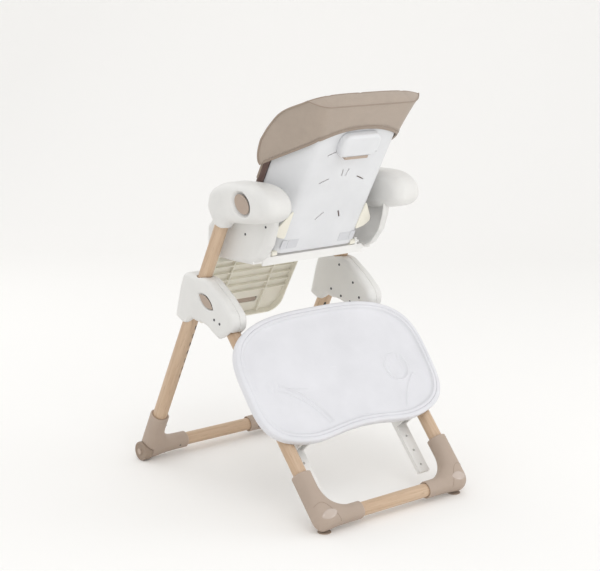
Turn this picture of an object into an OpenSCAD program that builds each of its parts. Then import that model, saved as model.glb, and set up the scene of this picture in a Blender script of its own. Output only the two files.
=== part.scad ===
// Folding high chair: two A-shaped frames joined by side hubs, a seat that
// slides up and down the front tubes, a reclining back, a legrest and a tray
// parked on the rear legs.  Millimetres, +Z up, front towards -Y, floor at z = 0,
// origin in the middle of the footprint.  The sitter's left is +X.

/* [Frame] */
// Distance of each leg tube from the middle plane
leg_x = 235; // [225:1:245]
// Height of both cross tubes above the floor
foot_z = 33; // [33:1:36]
// Distance of each cross tube ahead of and behind the middle
foot_y = 378; // [370:1:386]
// Lean of the front tubes from upright
front_tilt = 27.5; // [27:0.5:28]
// Lean of the rear legs from upright
rear_tilt = 41.3; // [41:0.1:41.5]
// Outer radius of the lower front tubes
lower_r = 20; // [20:0.5:21]
// Outer radius of the upper front tubes, which slide inside the lower ones
upper_r = 18; // [18:0.1:18.2]
// Wall of the upper tubes, the rear legs and the cross tubes
tube_wall = 1.6; // [1.2:0.1:2]
// Height of the folding pivot
pivot_z = 520; // [516:1:524]

/* [Front tubes] */
// Where the lower front tube stops, measured along it
lower_top = 596; // [590:1:600]
// Distance between two height notches
notch_pitch = 28.4; // [27:0.1:29]
// Number of height notches
notch_count = 7; // [5:1:7]
// Where the upper tube ends inside the armrest
upper_top = 826; // [820:1:830]

/* [Boots and wheels] */
// Radius of the front wheels
wheel_r = 27; // [25:0.5:27]
// Width of the front wheels
wheel_w = 26; // [24:1:28]
// Outer radius of the boot sleeves on the legs
boot_r = 25; // [24:0.5:26]
// Length of boot sleeve along a leg
boot_h = 122; // [110:1:130]
// Where the boot sleeves stop on the cross tubes
boot_x = 115; // [105:1:125]

/* [Hub] */
// Width of a hub across the tube
hub_w = 52; // [50:1:52]
// Length of the leaf-shaped button well
well_len = 66; // [60:1:70]
// Width of the leaf-shaped button well
well_w = 26; // [24:1:28]

/* [Seat] */
// Outer distance of the side panels from the middle
side_x = 206; // [204:1:207]
// Thickness of the side panels
side_t = 6; // [4:0.5:7]
// Underside of the seat pan
pan_z = 621; // [619:1:622]
// Thickness of the seat pan
pan_t = 8; // [6:1:9]

/* [Back] */
// Lean of the backrest from upright
back_tilt = 29; // [28:0.5:30]
// Length of the back panel
back_len = 436; // [430:1:440]
// Half of the width of the flat rear panel
back_half = 128; // [124:1:130]
// Depth of the side wings of the back shell
back_deep = 96; // [90:1:98]

/* [Legrest] */
// Lean of the legrest from upright
leg_tilt = 30; // [28:1:31]
// Length of the legrest panel
legrest_len = 228; // [215:1:230]
// Half of the width of the legrest
legrest_half = 150; // [145:1:152]

/* [Tray] */
// Lean of the parked tray from upright
tray_tilt = 38; // [38:0.1:38.5]
// Half of the tray's width
tray_half = 313; // [308:1:314]
// Depth of the tray's rim
tray_rim = 22; // [20:1:22]

/* [Hidden] */
$fn = 48;
slack = 0.06;
pivot_y = foot_y - (pivot_z - foot_z) * tan(rear_tilt);
pivot_h = (pivot_z - foot_z) / cos(rear_tilt);
cross_r = 18;
hub_in = leg_x - hub_w / 2;
hub_out = leg_x + hub_w / 2;
hub_low = 455;
hub_top = 608;
well_deep = 5.2;
arm_low = 776;
back_y = 67;
back_z = 639;
hinge_back = 8;
leg_hinge_y = -170;
leg_hinge_z = 606;
tray_y = 72.8;
tray_z = 471.8;
tray_len = 165;
pad_t = 30;
foot_pin_y = -34;
foot_pin_z = -229;

wood = [0.74, 0.60, 0.47];
white = [0.93, 0.93, 0.92];
cream = [0.89, 0.87, 0.82];
taupe = [0.64, 0.57, 0.51];
leatherette = [0.66, 0.60, 0.54];
maroon = [0.36, 0.27, 0.24];
steel = [0.75, 0.76, 0.78];

// ---- helpers -------------------------------------------------------------

function arc(c, r, from, to, n = 8) =
    [for (i = [0:n]) c + r * [cos(from + (to - from) * i / n), sin(from + (to - from) * i / n)]];

module on_side(side) mirror([side < 0 ? 1 : 0, 0, 0]) children();

module both_sides() {
    children();
    mirror([1, 0, 0]) children();
}

// A side-view outline (y, z) carried from x0 to x1
module side_plate(x0, x1) translate([x0, 0, 0]) rotate([90, 0, 90]) linear_extrude(x1 - x0) children();

// Local z runs up the left front tube from the cross tube's axis
module on_front() translate([leg_x, -foot_y, foot_z]) rotate([-front_tilt, 0, 0]) children();

// Local z runs up the left rear leg, local y points away from the seat
module on_rear() translate([leg_x, foot_y, foot_z]) rotate([rear_tilt, 0, 0]) children();

// Local z runs up the back panel, local y points to the rear
module on_back() translate([0, back_y, back_z]) rotate([-back_tilt, 0, 0]) children();

// Local z runs up the legrest, local y points to the rear
module on_legrest() translate([0, leg_hinge_y, leg_hinge_z]) rotate([-leg_tilt, 0, 0]) children();

// Local z runs up the parked tray, local y points out of its eating side
module on_tray() translate([0, tray_y, tray_z]) rotate([tray_tilt, 0, 0]) children();

module x_rod(x0, x1, y, z, r) translate([x0, y, z]) rotate([0, 90, 0]) cylinder(h = x1 - x0, r = r);

module pipe(h0, h1, r, wall) translate([0, 0, h0]) difference() {
    cylinder(h = h1 - h0, r = r);
    translate([0, 0, -1]) cylinder(h = h1 - h0 + 2, r = r - wall);
}

// A plate with round ends, its length along local x and its thickness along z
module round_bar(len, w, t) {
    flat = (len - w) / 2;
    translate([-flat, 0, 0]) cylinder(h = t, d = w);
    translate([flat, 0, 0]) cylinder(h = t, d = w);
    translate([-flat, -w / 2, 0]) cube([2 * flat, w, t]);
}

// The same plate standing on an outer side face, its thickness along +X
module side_bar(x, y, z, turn, len, w, t) translate([x, y, z]) rotate([turn, 0, 0])
    rotate([90, 0, 90]) round_bar(len, w, t);

// ---- front frame ---------------------------------------------------------

module front_tube(side) color(wood) on_side(side) on_front() difference() {
    translate([0, 0, 24]) cylinder(h = lower_top - 24, r = lower_r);
    translate([0, 0, 140]) cylinder(h = lower_top, r = upper_r + slack);
    for (i = [0 : notch_count - 1]) translate([0, 0, 446 - i * notch_pitch]) rotate([0, 0, 25])
        translate([0, lower_r + 3, 0]) rotate([90, 90, 0]) round_bar(15, 7, 10);
}

module front_cross_tube() color(wood) translate([-205, -foot_y, foot_z]) rotate([0, 90, 0])
    pipe(0, 410, cross_r, tube_wall);

// Fillet web between a leg sleeve and the cross sleeve, in the plane of both
module boot_web(thick) {
    inner = leg_x - boot_r + 4;
    low = 18;
    bow = 66;
    rotate([90, 0, 0]) linear_extrude(thick, center = true) polygon(concat(
        [[inner - leg_x, low], [inner - leg_x, low + bow + 8]],
        arc([inner - 4 - bow - leg_x, low + 4 + bow], bow, 0, -90)));
}

module front_boot(side) color(taupe) on_side(side) difference() {
    union() {
        on_front() {
            translate([0, 0, 6]) cylinder(h = boot_h - 6, r = boot_r);
            boot_web(34);
        }
        x_rod(boot_x, leg_x - 8, -foot_y, foot_z, cross_r + 4);
        hull() {
            translate([leg_x - 6, -foot_y, foot_z + 6]) sphere(r = 27, $fn = 32);
            x_rod(leg_x - 28, leg_x + 27, -foot_y, foot_z + 8, 22);
        }
    }
    on_front() translate([0, 0, 24]) cylinder(h = boot_h, r = lower_r);
    x_rod(boot_x - 1, 205, -foot_y, foot_z, cross_r);
    x_rod(leg_x + 4, leg_x + 60, -foot_y, wheel_r, wheel_r + 2);
    x_rod(205, leg_x + 60, -foot_y, wheel_r, 4);
    translate([leg_x - 60, -foot_y - 50, -30]) cube([120, 100, 38]);
}

module wheel_axles() color(steel) both_sides() {
    x_rod(207, leg_x + 34, -foot_y, wheel_r, 4);
    x_rod(leg_x + 6 + wheel_w + 0.4, leg_x + 35, -foot_y, wheel_r, 8);
}

module wheel(side) color(taupe) on_side(side) difference() {
    x_rod(leg_x + 6, leg_x + 6 + wheel_w, -foot_y, wheel_r, wheel_r);
    x_rod(leg_x, leg_x + 60, -foot_y, wheel_r, 4 + slack);
    for (x = [leg_x + 5, leg_x + 3 + wheel_w]) difference() {
        x_rod(x, x + 4, -foot_y, wheel_r, wheel_r - 5);
        x_rod(x - 1, x + 5, -foot_y, wheel_r, 10);
    }
}

// ---- hubs ----------------------------------------------------------------

function front_point(h, off) = [-foot_y + h * sin(front_tilt) + off * cos(front_tilt),
    foot_z + h * cos(front_tilt) - off * sin(front_tilt)];
function rear_point(h, off) = [foot_y - h * sin(rear_tilt) + off * cos(rear_tilt),
    foot_z + h * cos(rear_tilt) + off * sin(rear_tilt)];

hub_outline = concat(
    [front_point(hub_low, -29), front_point(hub_top - 10, -29), front_point(hub_top, -22),
     front_point(hub_top, 22)],
    arc([-62, 545], 24, 90, 40, 5),
    arc([16, 474], 37, 42, -20, 7),
    [rear_point(528, 31), rear_point(528, -30)],
    [rear_point(545, -38), [-62, 447], [-118, 449], front_point(hub_low + 16, 34),
     front_point(hub_low, 28)]);

// The room that the rear leg sweeps between open and folded
module leg_room() {
    fold = rear_tilt - 65;
    half = 18.8;
    reach = 200;
    pivot = [pivot_y, pivot_z];
    rear_edge = pivot + half * [cos(rear_tilt), sin(rear_tilt)];
    front_edge = pivot - half * [cos(fold), sin(fold)];
    polygon([rear_edge, rear_edge + reach * [sin(rear_tilt), -cos(rear_tilt)],
        front_edge + reach * [sin(fold), -cos(fold)], front_edge, pivot]);
    translate(pivot) circle(r = 22);
}

module hub_shell(x0, x1, room0, room1) difference() {
    side_plate(x0, x1) polygon(hub_outline);
    side_plate(room0, room1) leg_room();
    on_front() translate([0, 0, hub_low - 20]) cylinder(h = lower_top - hub_low + 20, r = lower_r);
    on_front() translate([0, 0, hub_low]) cylinder(h = 200, r = upper_r + 0.6);
    x_rod(leg_x - 23, leg_x + 23, pivot_y, pivot_z, 6);
}

module hub_outer(side) color(white) on_side(side) difference() {
    hub_shell(leg_x, hub_out, leg_x - 1, leg_x + 18.8);
    side_bar(hub_out - well_deep, -62, 512, -28, well_len, well_w, 20);
}

module hub_inner(side) color(white) on_side(side)
    hub_shell(hub_in, leg_x, leg_x - 18.8, leg_x + 1);

module hub_pins() color(steel) both_sides()
    x_rod(leg_x - 22.6, leg_x + 20.4, pivot_y, pivot_z, 6 - 0.01);

screw_spots = [[-74, 550], [-16, 508], [-108, 476], [-66, 460], [-28, 452], [10, 470]];

module hub_screws() color(steel) both_sides() for (p = screw_spots)
    x_rod(hub_in - 1, hub_in, p[0], p[1], 3.4);

module fold_button(side) color(taupe) on_side(side)
    side_bar(hub_out - well_deep + 2.2, -62, 512, -28, well_len - 2, well_w - 2, 1.8);

// ---- rear frame ----------------------------------------------------------

module rear_leg(side) color(wood) on_side(side) on_rear() pipe(24, pivot_h - 30, cross_r, tube_wall);

module rear_cross_tube() color(wood) translate([-205, foot_y, foot_z]) rotate([0, 90, 0])
    pipe(0, 410, cross_r, tube_wall);

module rear_leg_lugs() color(steel) both_sides() difference() {
    union() {
        on_rear() translate([0, 0, pivot_h - 60]) cylinder(h = 30, r = cross_r - tube_wall - 0.02);
        on_rear() translate([0, 0, pivot_h - 30]) cylinder(h = 26, r = cross_r - 1);
        x_rod(leg_x - 16, leg_x + 15, pivot_y, pivot_z, 20);
    }
    x_rod(leg_x - 30, leg_x + 30, pivot_y, pivot_z, 6 + slack);
}

module rear_boot(side) color(taupe) on_side(side) difference() {
    union() {
        on_rear() {
            translate([0, 0, 4]) cylinder(h = boot_h, r = boot_r);
            boot_web(36);
            translate([-3, 0, 13]) rotate([-90, 0, 0]) round_bar(40, 26, 26);
        }
        x_rod(boot_x, leg_x - 4, foot_y, foot_z, cross_r + 4);
        hull() {
            translate([leg_x - 6, foot_y, foot_z - 2]) sphere(r = 27, $fn = 32);
            translate([leg_x - 10, foot_y - 4, 2]) cylinder(h = 10, r = 20, $fn = 32);
        }
    }
    on_rear() translate([0, 0, 24]) cylinder(h = boot_h + 30, r = cross_r);
    x_rod(boot_x - 1, 205, foot_y, foot_z, cross_r);
    translate([leg_x - 60, foot_y - 60, -30]) cube([120, 120, 32]);
}

module rear_glides() color([0.25, 0.24, 0.23]) both_sides()
    translate([leg_x - 10, foot_y - 4, 0]) cylinder(h = 2, r = 17);

module boot_badges() color(taupe) both_sides() on_rear() translate([-3, 26, 13])
    rotate([-90, 0, 0]) round_bar(34, 20, 1.4);

module boot_screws() color(steel) both_sides() for (x = [boot_x + 12, boot_x + 46])
    translate([x, foot_y - cross_r - 4, foot_z]) rotate([90, 0, 0]) cylinder(h = 1.2, r = 3.4);

// ---- sliding seat --------------------------------------------------------

module upper_tube(side) color(wood) on_side(side) on_front() pipe(470, upper_top, upper_r, tube_wall);

module tube_bushes() color([0.3, 0.29, 0.28]) both_sides() on_front() difference() {
    union() {
        translate([0, 0, 462]) cylinder(h = 8, r = upper_r - 0.2);
        translate([0, 0, 470]) cylinder(h = 30, r = upper_r - tube_wall - 0.01);
    }
    translate([0, 0, 478]) rotate([0, 0, 25]) rotate([-90, 0, 0]) cylinder(h = 30, r = 4.01);
}

module height_pins() color(steel) both_sides() on_front() translate([0, 0, 478])
    rotate([0, 0, 25]) rotate([-90, 0, 0]) cylinder(h = upper_r - tube_wall - 0.3, r = 4);

side_outline = concat(
    [[-64, 752], [-132, 690], [-136, 650]],
    arc([-116, 636], 20, 180, 270, 4),
    [[-20, 616], [40, 618]],
    arc([30, 745], 112, -70, 4, 9),
    [[140, 770], [-50, 770]]);

// The panel's rear edge, turned inwards
module rear_lip() polygon(concat(arc([30, 745], 112, -52, -6, 8), arc([30, 745], 106, -6, -52, 8)));

module side_panel(side) color(white) on_side(side) {
    difference() {
        side_plate(side_x - side_t, side_x) polygon(side_outline);
        // Groove that the front tube slides past
        on_front() translate([side_x - leg_x + 8.5, 0, 600]) cylinder(h = 260, r = 12);
    }
    side_plate(side_x - 30, side_x - side_t) rear_lip();
}

module armrest(side) color(white) on_side(side) difference() {
    hull() {
        on_front() translate([0, 0, arm_low]) cylinder(h = 60, r = 26, $fn = 32);
        translate([leg_x - 5, 16, 802]) sphere(r = 31, $fn = 32);
        translate([217, 62, 778]) sphere(r = 44, $fn = 32);
        translate([217, 92, 790]) sphere(r = 45, $fn = 32);
        translate([216, 146, 788]) sphere(r = 46, $fn = 32);
    }
    on_front() translate([0, 0, arm_low - 20]) cylinder(h = upper_top - arm_low + 20, r = upper_r);
    side_plate(side_x - side_t - 0.2, side_x + 0.2) offset(delta = 0.3) polygon(side_outline);
    side_plate(side_x - 30.3, side_x) offset(delta = 0.3) rear_lip();
    side_bar(246, 95, 783, -30, 70, 44, 40);
}

module height_button(side) color(taupe) on_side(side)
    side_bar(250.5, 95, 783, -30, 68, 42, 5);

module seat_pan() color(cream) {
    wide = side_x - side_t;
    translate([0, 0, pan_z]) linear_extrude(pan_t) polygon([[-wide, back_y - 5], [-wide, -118],
        [-150, -165], [150, -165], [wide, -118], [wide, back_y - 5]]);
    translate([-wide + 30, back_y - 9, pan_z - 8]) cube([2 * wide - 60, 5, 21]);
    // Lugs of the back hinge
    both_sides() difference() {
        translate([144, back_y - 26, pan_z + pan_t]) cube([8, 22, 24]);
        x_rod(140, 160, back_y - hinge_back * cos(back_tilt), back_z + hinge_back * sin(back_tilt), 4);
    }
    // Lugs of the legrest hinge
    both_sides() difference() {
        translate([legrest_half - 30, leg_hinge_y - 8, leg_hinge_z - 8])
            cube([10, 18, pan_z - leg_hinge_z + 8 + pan_t]);
        x_rod(100, 160, leg_hinge_y, leg_hinge_z, 4);
    }
    for (x = [-120 : 60 : 120]) translate([x - 1.5, -140, pan_z - 6]) cube([3, 190, 6]);
}

module side_screws() color(steel) both_sides() for (p = [[38, 697], [122, 726]])
    x_rod(side_x, side_x + 1, p[0], p[1], 3.4);

module seat_pad() color(maroon) hull() {
    translate([-184, -112, pan_z + pan_t + 0.4]) cube([368, 122, 18]);
    translate([-172, -112, pan_z + pan_t + 0.4]) cube([344, 112, pad_t]);
    both_sides() translate([146, -180, pan_z + pan_t + 15.2]) sphere(r = 15.2, $fn = 24);
}

module lap_belt() color(maroon) both_sides() translate([34, -60, pan_z + pan_t + pad_t + 1])
    rotate([0, 0, -16]) cube([110, 25, 2]);

module buckle() color([0.2, 0.2, 0.2]) translate([0, -52, pan_z + pan_t + pad_t + 1]) {
    translate([0, 0, 3]) cylinder(h = 9, r = 22);
    translate([-14, -58, 0.4]) cube([28, 50, 2.6]);
    cylinder(h = 3, r = 12);
}

// ---- backrest ------------------------------------------------------------

// Cross-section of a tapering channel: rear half-width, front half-width, two depths
function channel(rear, front, y0, y1) = [[-rear, y0], [rear, y0], [front, y1], [-front, y1]];

wing_half = back_half + back_deep * 0.4;

// Side view (y, z) of everything that the shell's wings keep
wing_side = concat([[1, 2], [1, back_len]], arc([59.4, 320], 155.4, 131.7, 180, 10),
    [[-back_deep, 110], [-26, 2]]);

module back_shell() color(white) on_back() difference() {
    union() {
        intersection() {
            difference() {
                translate([0, 0, 2]) linear_extrude(back_len - 2)
                    polygon(channel(back_half, wing_half, 0, -back_deep));
                translate([0, 0, -1]) linear_extrude(back_len - 3)
                    polygon(channel(back_half - 4, wing_half - 3, -4, -back_deep - 1));
            }
            side_plate(-200, 200) polygon(wing_side);
        }
        // Ears of the recline latch
        both_sides() translate([back_half - 4, -4, 0]) rotate([90, 0, 0]) mirror([0, 0, 1])
            linear_extrude(4) polygon(concat([[0, 52], [28, 58]], arc([32, 84], 12, -30, 60, 4), [[20, 120], [0, 138]]));
        // Hinge bosses
        both_sides() x_rod(125, 142, -hinge_back, 0, 8);
    }
    both_sides() {
        x_rod(100, 160, -hinge_back, 0, 4 + slack);
        for (s = [[61, 223, 24], [67, 308, 24]]) translate([s[0], -2, s[1]]) rotate([0, s[2], 0])
            cube([30, 12, 4], center = true);
        translate([8, -2, 245]) rotate([0, 8, 0]) cube([3.5, 12, 22], center = true);
    }
    translate([30, -2, 111]) rotate([0, 46, 0]) cube([30, 12, 4], center = true);
    translate([-36, -2, 111]) rotate([0, -60, 0]) cube([26, 12, 4.5], center = true);
    both_sides() translate([back_half + 8, -10, 40]) cube([12, 20, 10], center = true);
}

module handle_housing() color(white) on_back() difference() {
    rotate([-90, 0, 0]) mirror([0, 1, 0]) linear_extrude(22) polygon(concat(
        arc([44, 352], 18, 0, 90, 5), arc([-44, 352], 18, 90, 180, 5),
        arc([-44, 326], 20, 180, 270, 5), arc([44, 326], 20, 270, 360, 5)));
    translate([-38, 3, 300]) cube([76, 16, 22]);
}

module recline_lever() color(taupe) on_back() {
    translate([-37.5, 3.5, 299]) cube([75, 15, 12]);
}

module back_hinge_pins() color(steel) both_sides()
    x_rod(126, 158, back_y - hinge_back * cos(back_tilt), back_z + hinge_back * sin(back_tilt), 4 - 0.01);

module back_pad() color(maroon) on_back() difference() {
    intersection() {
        translate([0, 0, 30]) linear_extrude(back_len - 40)
            polygon(channel(back_half - 6, wing_half - 6, -5, -back_deep));
        side_plate(-200, 200) polygon(concat([[0, 30], [0, 430]], arc([59, 318], 150, 131.7, 180, 10),
            [[-91, 150], [-40, 30]]));
    }
    // The hollow that the sitter's back fills
    translate([0, 0, 20]) linear_extrude(385) polygon(channel(92, 122, -30, -120));
}

module hood() color(leatherette) on_back() difference() {
    intersection() {
        translate([0, 0, 190]) linear_extrude(262) polygon(channel(133, 190, 4, -118));
        side_plate(-200, 200) polygon(concat([[5, 352]], arc([-8, 440], 13, 0, 90, 4),
            arc([98, 285], 217, 131, 186, 9), [[-98, 216]]));
    }
    translate([0, 0, 150]) linear_extrude(back_len - 149.7)
        polygon(channel(back_half + 0.3, wing_half + 0.6, 0.3, -back_deep - 0.4));
    // The mouth towards the sitter's head
    translate([0, 0, 150]) linear_extrude(back_len - 156)
        polygon(channel(wing_half - 6, wing_half + 10, -back_deep + 1, -150));
    // The hem arches over the handle
    rotate([90, 0, 0]) translate([0, 0, -20]) linear_extrude(20) polygon(concat([[-128, 300], [128, 300]],
        arc([0, 242], 140, 44, 136, 10)));
}

module shoulder_straps() color(maroon) both_sides() on_back() translate([48, -33, 110])
    cube([25, 2.5, 190]);

module label_plates() color([0.86, 0.86, 0.85]) both_sides() on_back() {
    translate([70, 0, 16]) cube([34, 0.6, 28]);
    translate([108, 0, 16]) cube([16, 0.6, 28]);
}

// ---- legrest -------------------------------------------------------------

module legrest_outline(half, top, bottom, r) polygon(concat(
    [[-half, top], [half, top]], arc([half - r, -bottom + r], r, 0, -90, 6),
    arc([-half + r, -bottom + r], r, 270, 180, 6)));

module legrest_panel() color(cream) on_legrest() {
    difference() {
        rotate([90, 0, 0]) translate([0, 0, -16]) linear_extrude(19)
            legrest_outline(legrest_half, -14, legrest_len + 8, 42);
        rotate([90, 0, 0]) translate([0, 0, -17]) linear_extrude(17)
            legrest_outline(legrest_half - 4, -18, legrest_len + 4, 38);
        translate([-63, -4, -198]) cube([126, 8, 17]);
    }
    for (z = [-44 : -26 : -150]) translate([-legrest_half + 4, 0, z]) cube([2 * legrest_half - 8, 9, 3]);
    for (x = [-75, 72]) translate([x, 0, -legrest_len]) cube([3, 9, 200]);
    // Hinge knuckles
    both_sides() difference() {
        union() {
            x_rod(legrest_half - 19.6, legrest_half - 10, 0, 0, 8);
            translate([legrest_half - 19.6, -3, -16]) cube([9.6, 6, 14]);
        }
        x_rod(100, 160, 0, 0, 4 + slack);
    }
    // Lugs that carry the footrest
    both_sides() difference() {
        union() {
            translate([84, foot_pin_y, foot_pin_z - 7]) cube([10, -2 - foot_pin_y, 14]);
            x_rod(84, 94, foot_pin_y, foot_pin_z, 7);
        }
        x_rod(80, 100, foot_pin_y, foot_pin_z, 3.01);
    }
}

module legrest_pad() color(maroon) on_legrest() translate([0, -3.3, 0]) rotate([90, 0, 0])
    linear_extrude(22) legrest_outline(legrest_half - 4, -34, legrest_len - 10, 40);

module legrest_pins() color(steel) both_sides()
    x_rod(legrest_half - 30, legrest_half - 11, leg_hinge_y, leg_hinge_z, 4 - 0.01);

module footrest_rod() color(steel) on_legrest() x_rod(-94, 94, foot_pin_y, foot_pin_z, 3);

module footrest() color(taupe) on_legrest() difference() {
    union() {
        x_rod(-83.5, 83.5, foot_pin_y, foot_pin_z, 6);
        translate([-83.5, foot_pin_y - 12, foot_pin_z - 6]) cube([167, 12, 12]);
        hull() both_sides() {
            translate([95, foot_pin_y - 75, foot_pin_z - 6]) cylinder(h = 12, r = 18);
            translate([95, foot_pin_y - 30, foot_pin_z - 6]) cylinder(h = 12, r = 18);
        }
    }
    x_rod(-90, 90, foot_pin_y, foot_pin_z, 3 + slack);
    for (x = [-80 : 16 : 80]) translate([x - 2, foot_pin_y - 84, foot_pin_z + 4.5]) cube([4, 62, 3]);
}

// ---- tray ----------------------------------------------------------------

// Superellipse with a fuller lower half and a hollow for the sitter's body
function tray_outline(inset) = [for (t = [0 : 5 : 355])
    let (n = sin(t) > 0 ? 3 : 4,
         x = (tray_half - inset) * sign(cos(t)) * pow(abs(cos(t)), 2 / n),
         z = (182 - inset) * sign(sin(t)) * pow(abs(sin(t)), 2 / n),
         dip = sin(t) < 0 && abs(x) < 180 ? 17 * pow(1 - pow(x / 180, 2), 2) : 0)
    [x, z - tray_len + dip]];

module tray_sheet(inset, y0, y1) translate([0, y1, 0]) rotate([90, 0, 0])
    linear_extrude(y1 - y0) polygon(tray_outline(inset));

module tray_base() color(white) on_tray() {
    difference() {
        tray_sheet(0, -tray_rim, 0);
        tray_sheet(12, -11, 5);
        tray_sheet(5, -tray_rim - 5, -15);
    }
    // Rails that guide the catch
    both_sides() {
        translate([42.4, -32, -72]) cube([5, 18, 56]);
        translate([36, -32, -72]) cube([8, 2, 56]);
    }
}

module tray_insert() color(white) on_tray() difference() {
    union() {
        tray_sheet(12.6, -10.6, -7.6);
        difference() {
            tray_sheet(12.6, -7.6, -1);
            tray_sheet(20, -8, 5);
        }
        translate([-186, -1.6, -196]) rotate([90, 0, 0]) difference() {
            cylinder(h = 6, r = 41);
            translate([0, 0, -1]) cylinder(h = 8, r = 37);
        }
    }
    tray_sheet(60, -8.6, 0);
}

// One arm with its bracket up to the tray and its saddle on the rear leg
module tray_arm(side) color(white) on_side(side) difference() {
    union() {
        on_rear() {
            translate([-73, -50, 60]) cube([36, 12, 340]);
            translate([-73, -40, 200]) cube([6, 82, 200]);
            translate([-43, -40, 200]) cube([6, 82, 200]);
        }
        for (h = [232, 380]) on_rear() translate([-38, 0, h]) cube([60, 28, 14]);
    }
    on_rear() cylinder(h = 600, r = cross_r + 0.3);
    on_tray() translate([-400, -15, -500]) cube([800, 100, 700]);
    for (h = [81, 124, 167]) on_rear() translate([-56, -60, h]) rotate([-90, 0, 0]) cylinder(h = 30, r = 4);
}

module tray_release() color(taupe) on_tray() {
    translate([-42, -29.6, -60]) cube([84, 14.2, 36]);
    translate([-34, -38, -60]) cube([68, 9, 8]);
}

module tray_screws() color(steel) both_sides() on_rear() for (h = [240, 360])
    translate([-67, 8, h]) rotate([0, -90, 0]) mirror([0, 0, 1]) cylinder(h = 2, r = 3.4);

// ---- output --------------------------------------------------------------

front_tube(1);  // front_tube_left
front_tube(-1);  // front_tube_right
front_cross_tube();
front_boot(1);  // front_boot_left
front_boot(-1);  // front_boot_right
wheel_axles();
wheel(1);  // wheel_left
wheel(-1);  // wheel_right
hub_outer(1);  // hub_outer_left
hub_outer(-1);  // hub_outer_right
hub_inner(1);  // hub_inner_left
hub_inner(-1);  // hub_inner_right
hub_pins();
hub_screws();
fold_button(1);  // fold_button_left
fold_button(-1);  // fold_button_right
rear_leg(1);  // rear_leg_left
rear_leg(-1);  // rear_leg_right
rear_cross_tube();
rear_boot(1);  // rear_boot_left
rear_boot(-1);  // rear_boot_right
rear_leg_lugs();
rear_glides();
boot_badges();
boot_screws();
upper_tube(1);  // upper_tube_left
upper_tube(-1);  // upper_tube_right
tube_bushes();
height_pins();
armrest(1);  // armrest_left
armrest(-1);  // armrest_right
height_button(1);  // height_button_left
height_button(-1);  // height_button_right
side_panel(1);  // side_panel_left
side_panel(-1);  // side_panel_right
seat_pan();
side_screws();
seat_pad();
lap_belt();
buckle();
back_shell();
handle_housing();
recline_lever();
back_hinge_pins();
back_pad();
hood();
shoulder_straps();
label_plates();
legrest_panel();
legrest_pad();
legrest_pins();
footrest();
footrest_rod();
tray_base();
tray_insert();
tray_arm(1);  // tray_arm_left
tray_arm(-1);  // tray_arm_right
tray_release();
tray_screws();
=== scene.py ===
# %% [markdown]
# # A folding high chair, seen from behind
# The imported CAD model is the frame: its tubes, pins and brackets stay where they are.
# This script gives every piece its finish and builds the shells, pads and the hood as new surfaces.

# %% Load the frame
import math
import bmesh
import bpy
import numpy as np
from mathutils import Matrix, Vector
from mathutils.bvhtree import BVHTree


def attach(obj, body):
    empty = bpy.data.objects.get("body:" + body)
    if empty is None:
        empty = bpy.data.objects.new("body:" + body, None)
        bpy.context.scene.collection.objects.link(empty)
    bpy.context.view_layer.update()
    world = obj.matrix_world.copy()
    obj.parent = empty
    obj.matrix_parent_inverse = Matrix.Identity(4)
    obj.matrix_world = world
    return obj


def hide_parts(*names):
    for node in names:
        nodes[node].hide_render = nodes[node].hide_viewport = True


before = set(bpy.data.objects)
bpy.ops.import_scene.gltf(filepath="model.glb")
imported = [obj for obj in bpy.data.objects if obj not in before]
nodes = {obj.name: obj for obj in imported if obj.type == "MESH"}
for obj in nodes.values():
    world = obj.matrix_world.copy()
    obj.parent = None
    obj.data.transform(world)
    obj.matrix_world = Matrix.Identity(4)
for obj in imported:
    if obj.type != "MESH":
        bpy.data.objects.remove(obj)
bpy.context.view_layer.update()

MM = 0.001
SIDES = {"left": 1, "right": -1}

# %% [markdown]
# Placing things is easier in the local frame of a leg, of the backrest or of the tray.
# Each local frame is an origin and a lean about X, in millimetres, so a point of a shape is given
# where a maker would measure it and is then turned into the frame's metres.

# %% Local frames, in millimetres
LEG_X, FOOT_Y, FOOT_Z = 235.0, 378.0, 33.0
FRONT_LEAN, REAR_LEAN, BACK_LEAN, LEGREST_LEAN, TRAY_LEAN = -27.5, 41.3, -29.0, -30.0, 38.0
FRONT = ((LEG_X, -FOOT_Y, FOOT_Z), FRONT_LEAN)
REAR = ((LEG_X, FOOT_Y, FOOT_Z), REAR_LEAN)
BACK = ((0.0, 67.0, 639.0), BACK_LEAN)
LEGREST = ((0.0, -170.0, 606.0), LEGREST_LEAN)
TRAY = ((0.0, 72.8, 471.8), TRAY_LEAN)
WORLD = ((0.0, 0.0, 0.0), 0.0)


def turned(p, lean):
    """Points p (..., 3) turned about X by lean degrees: y' = y cos - z sin, z' = y sin + z cos."""
    c, s = math.cos(math.radians(lean)), math.sin(math.radians(lean))
    return np.stack([p[..., 0], p[..., 1] * c - p[..., 2] * s, p[..., 1] * s + p[..., 2] * c], -1)


def out_of(place, p):
    """Local points in millimetres to the common frame, still in millimetres."""
    origin, lean = place
    return turned(np.asarray(p, float), lean) + np.array(origin)


def into(place, p):
    """Common-frame points in millimetres to local ones."""
    origin, lean = place
    return turned(np.asarray(p, float) - np.array(origin), -lean)

# %% [markdown]
# Three ways of making a mesh cover the whole chair. A grid of points is a function of two
# parameters; a swept profile is a grid too; and a moulded shell that blends several tubes is the
# zero surface of a distance formula, because no single grid follows such a branching shape.

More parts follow.
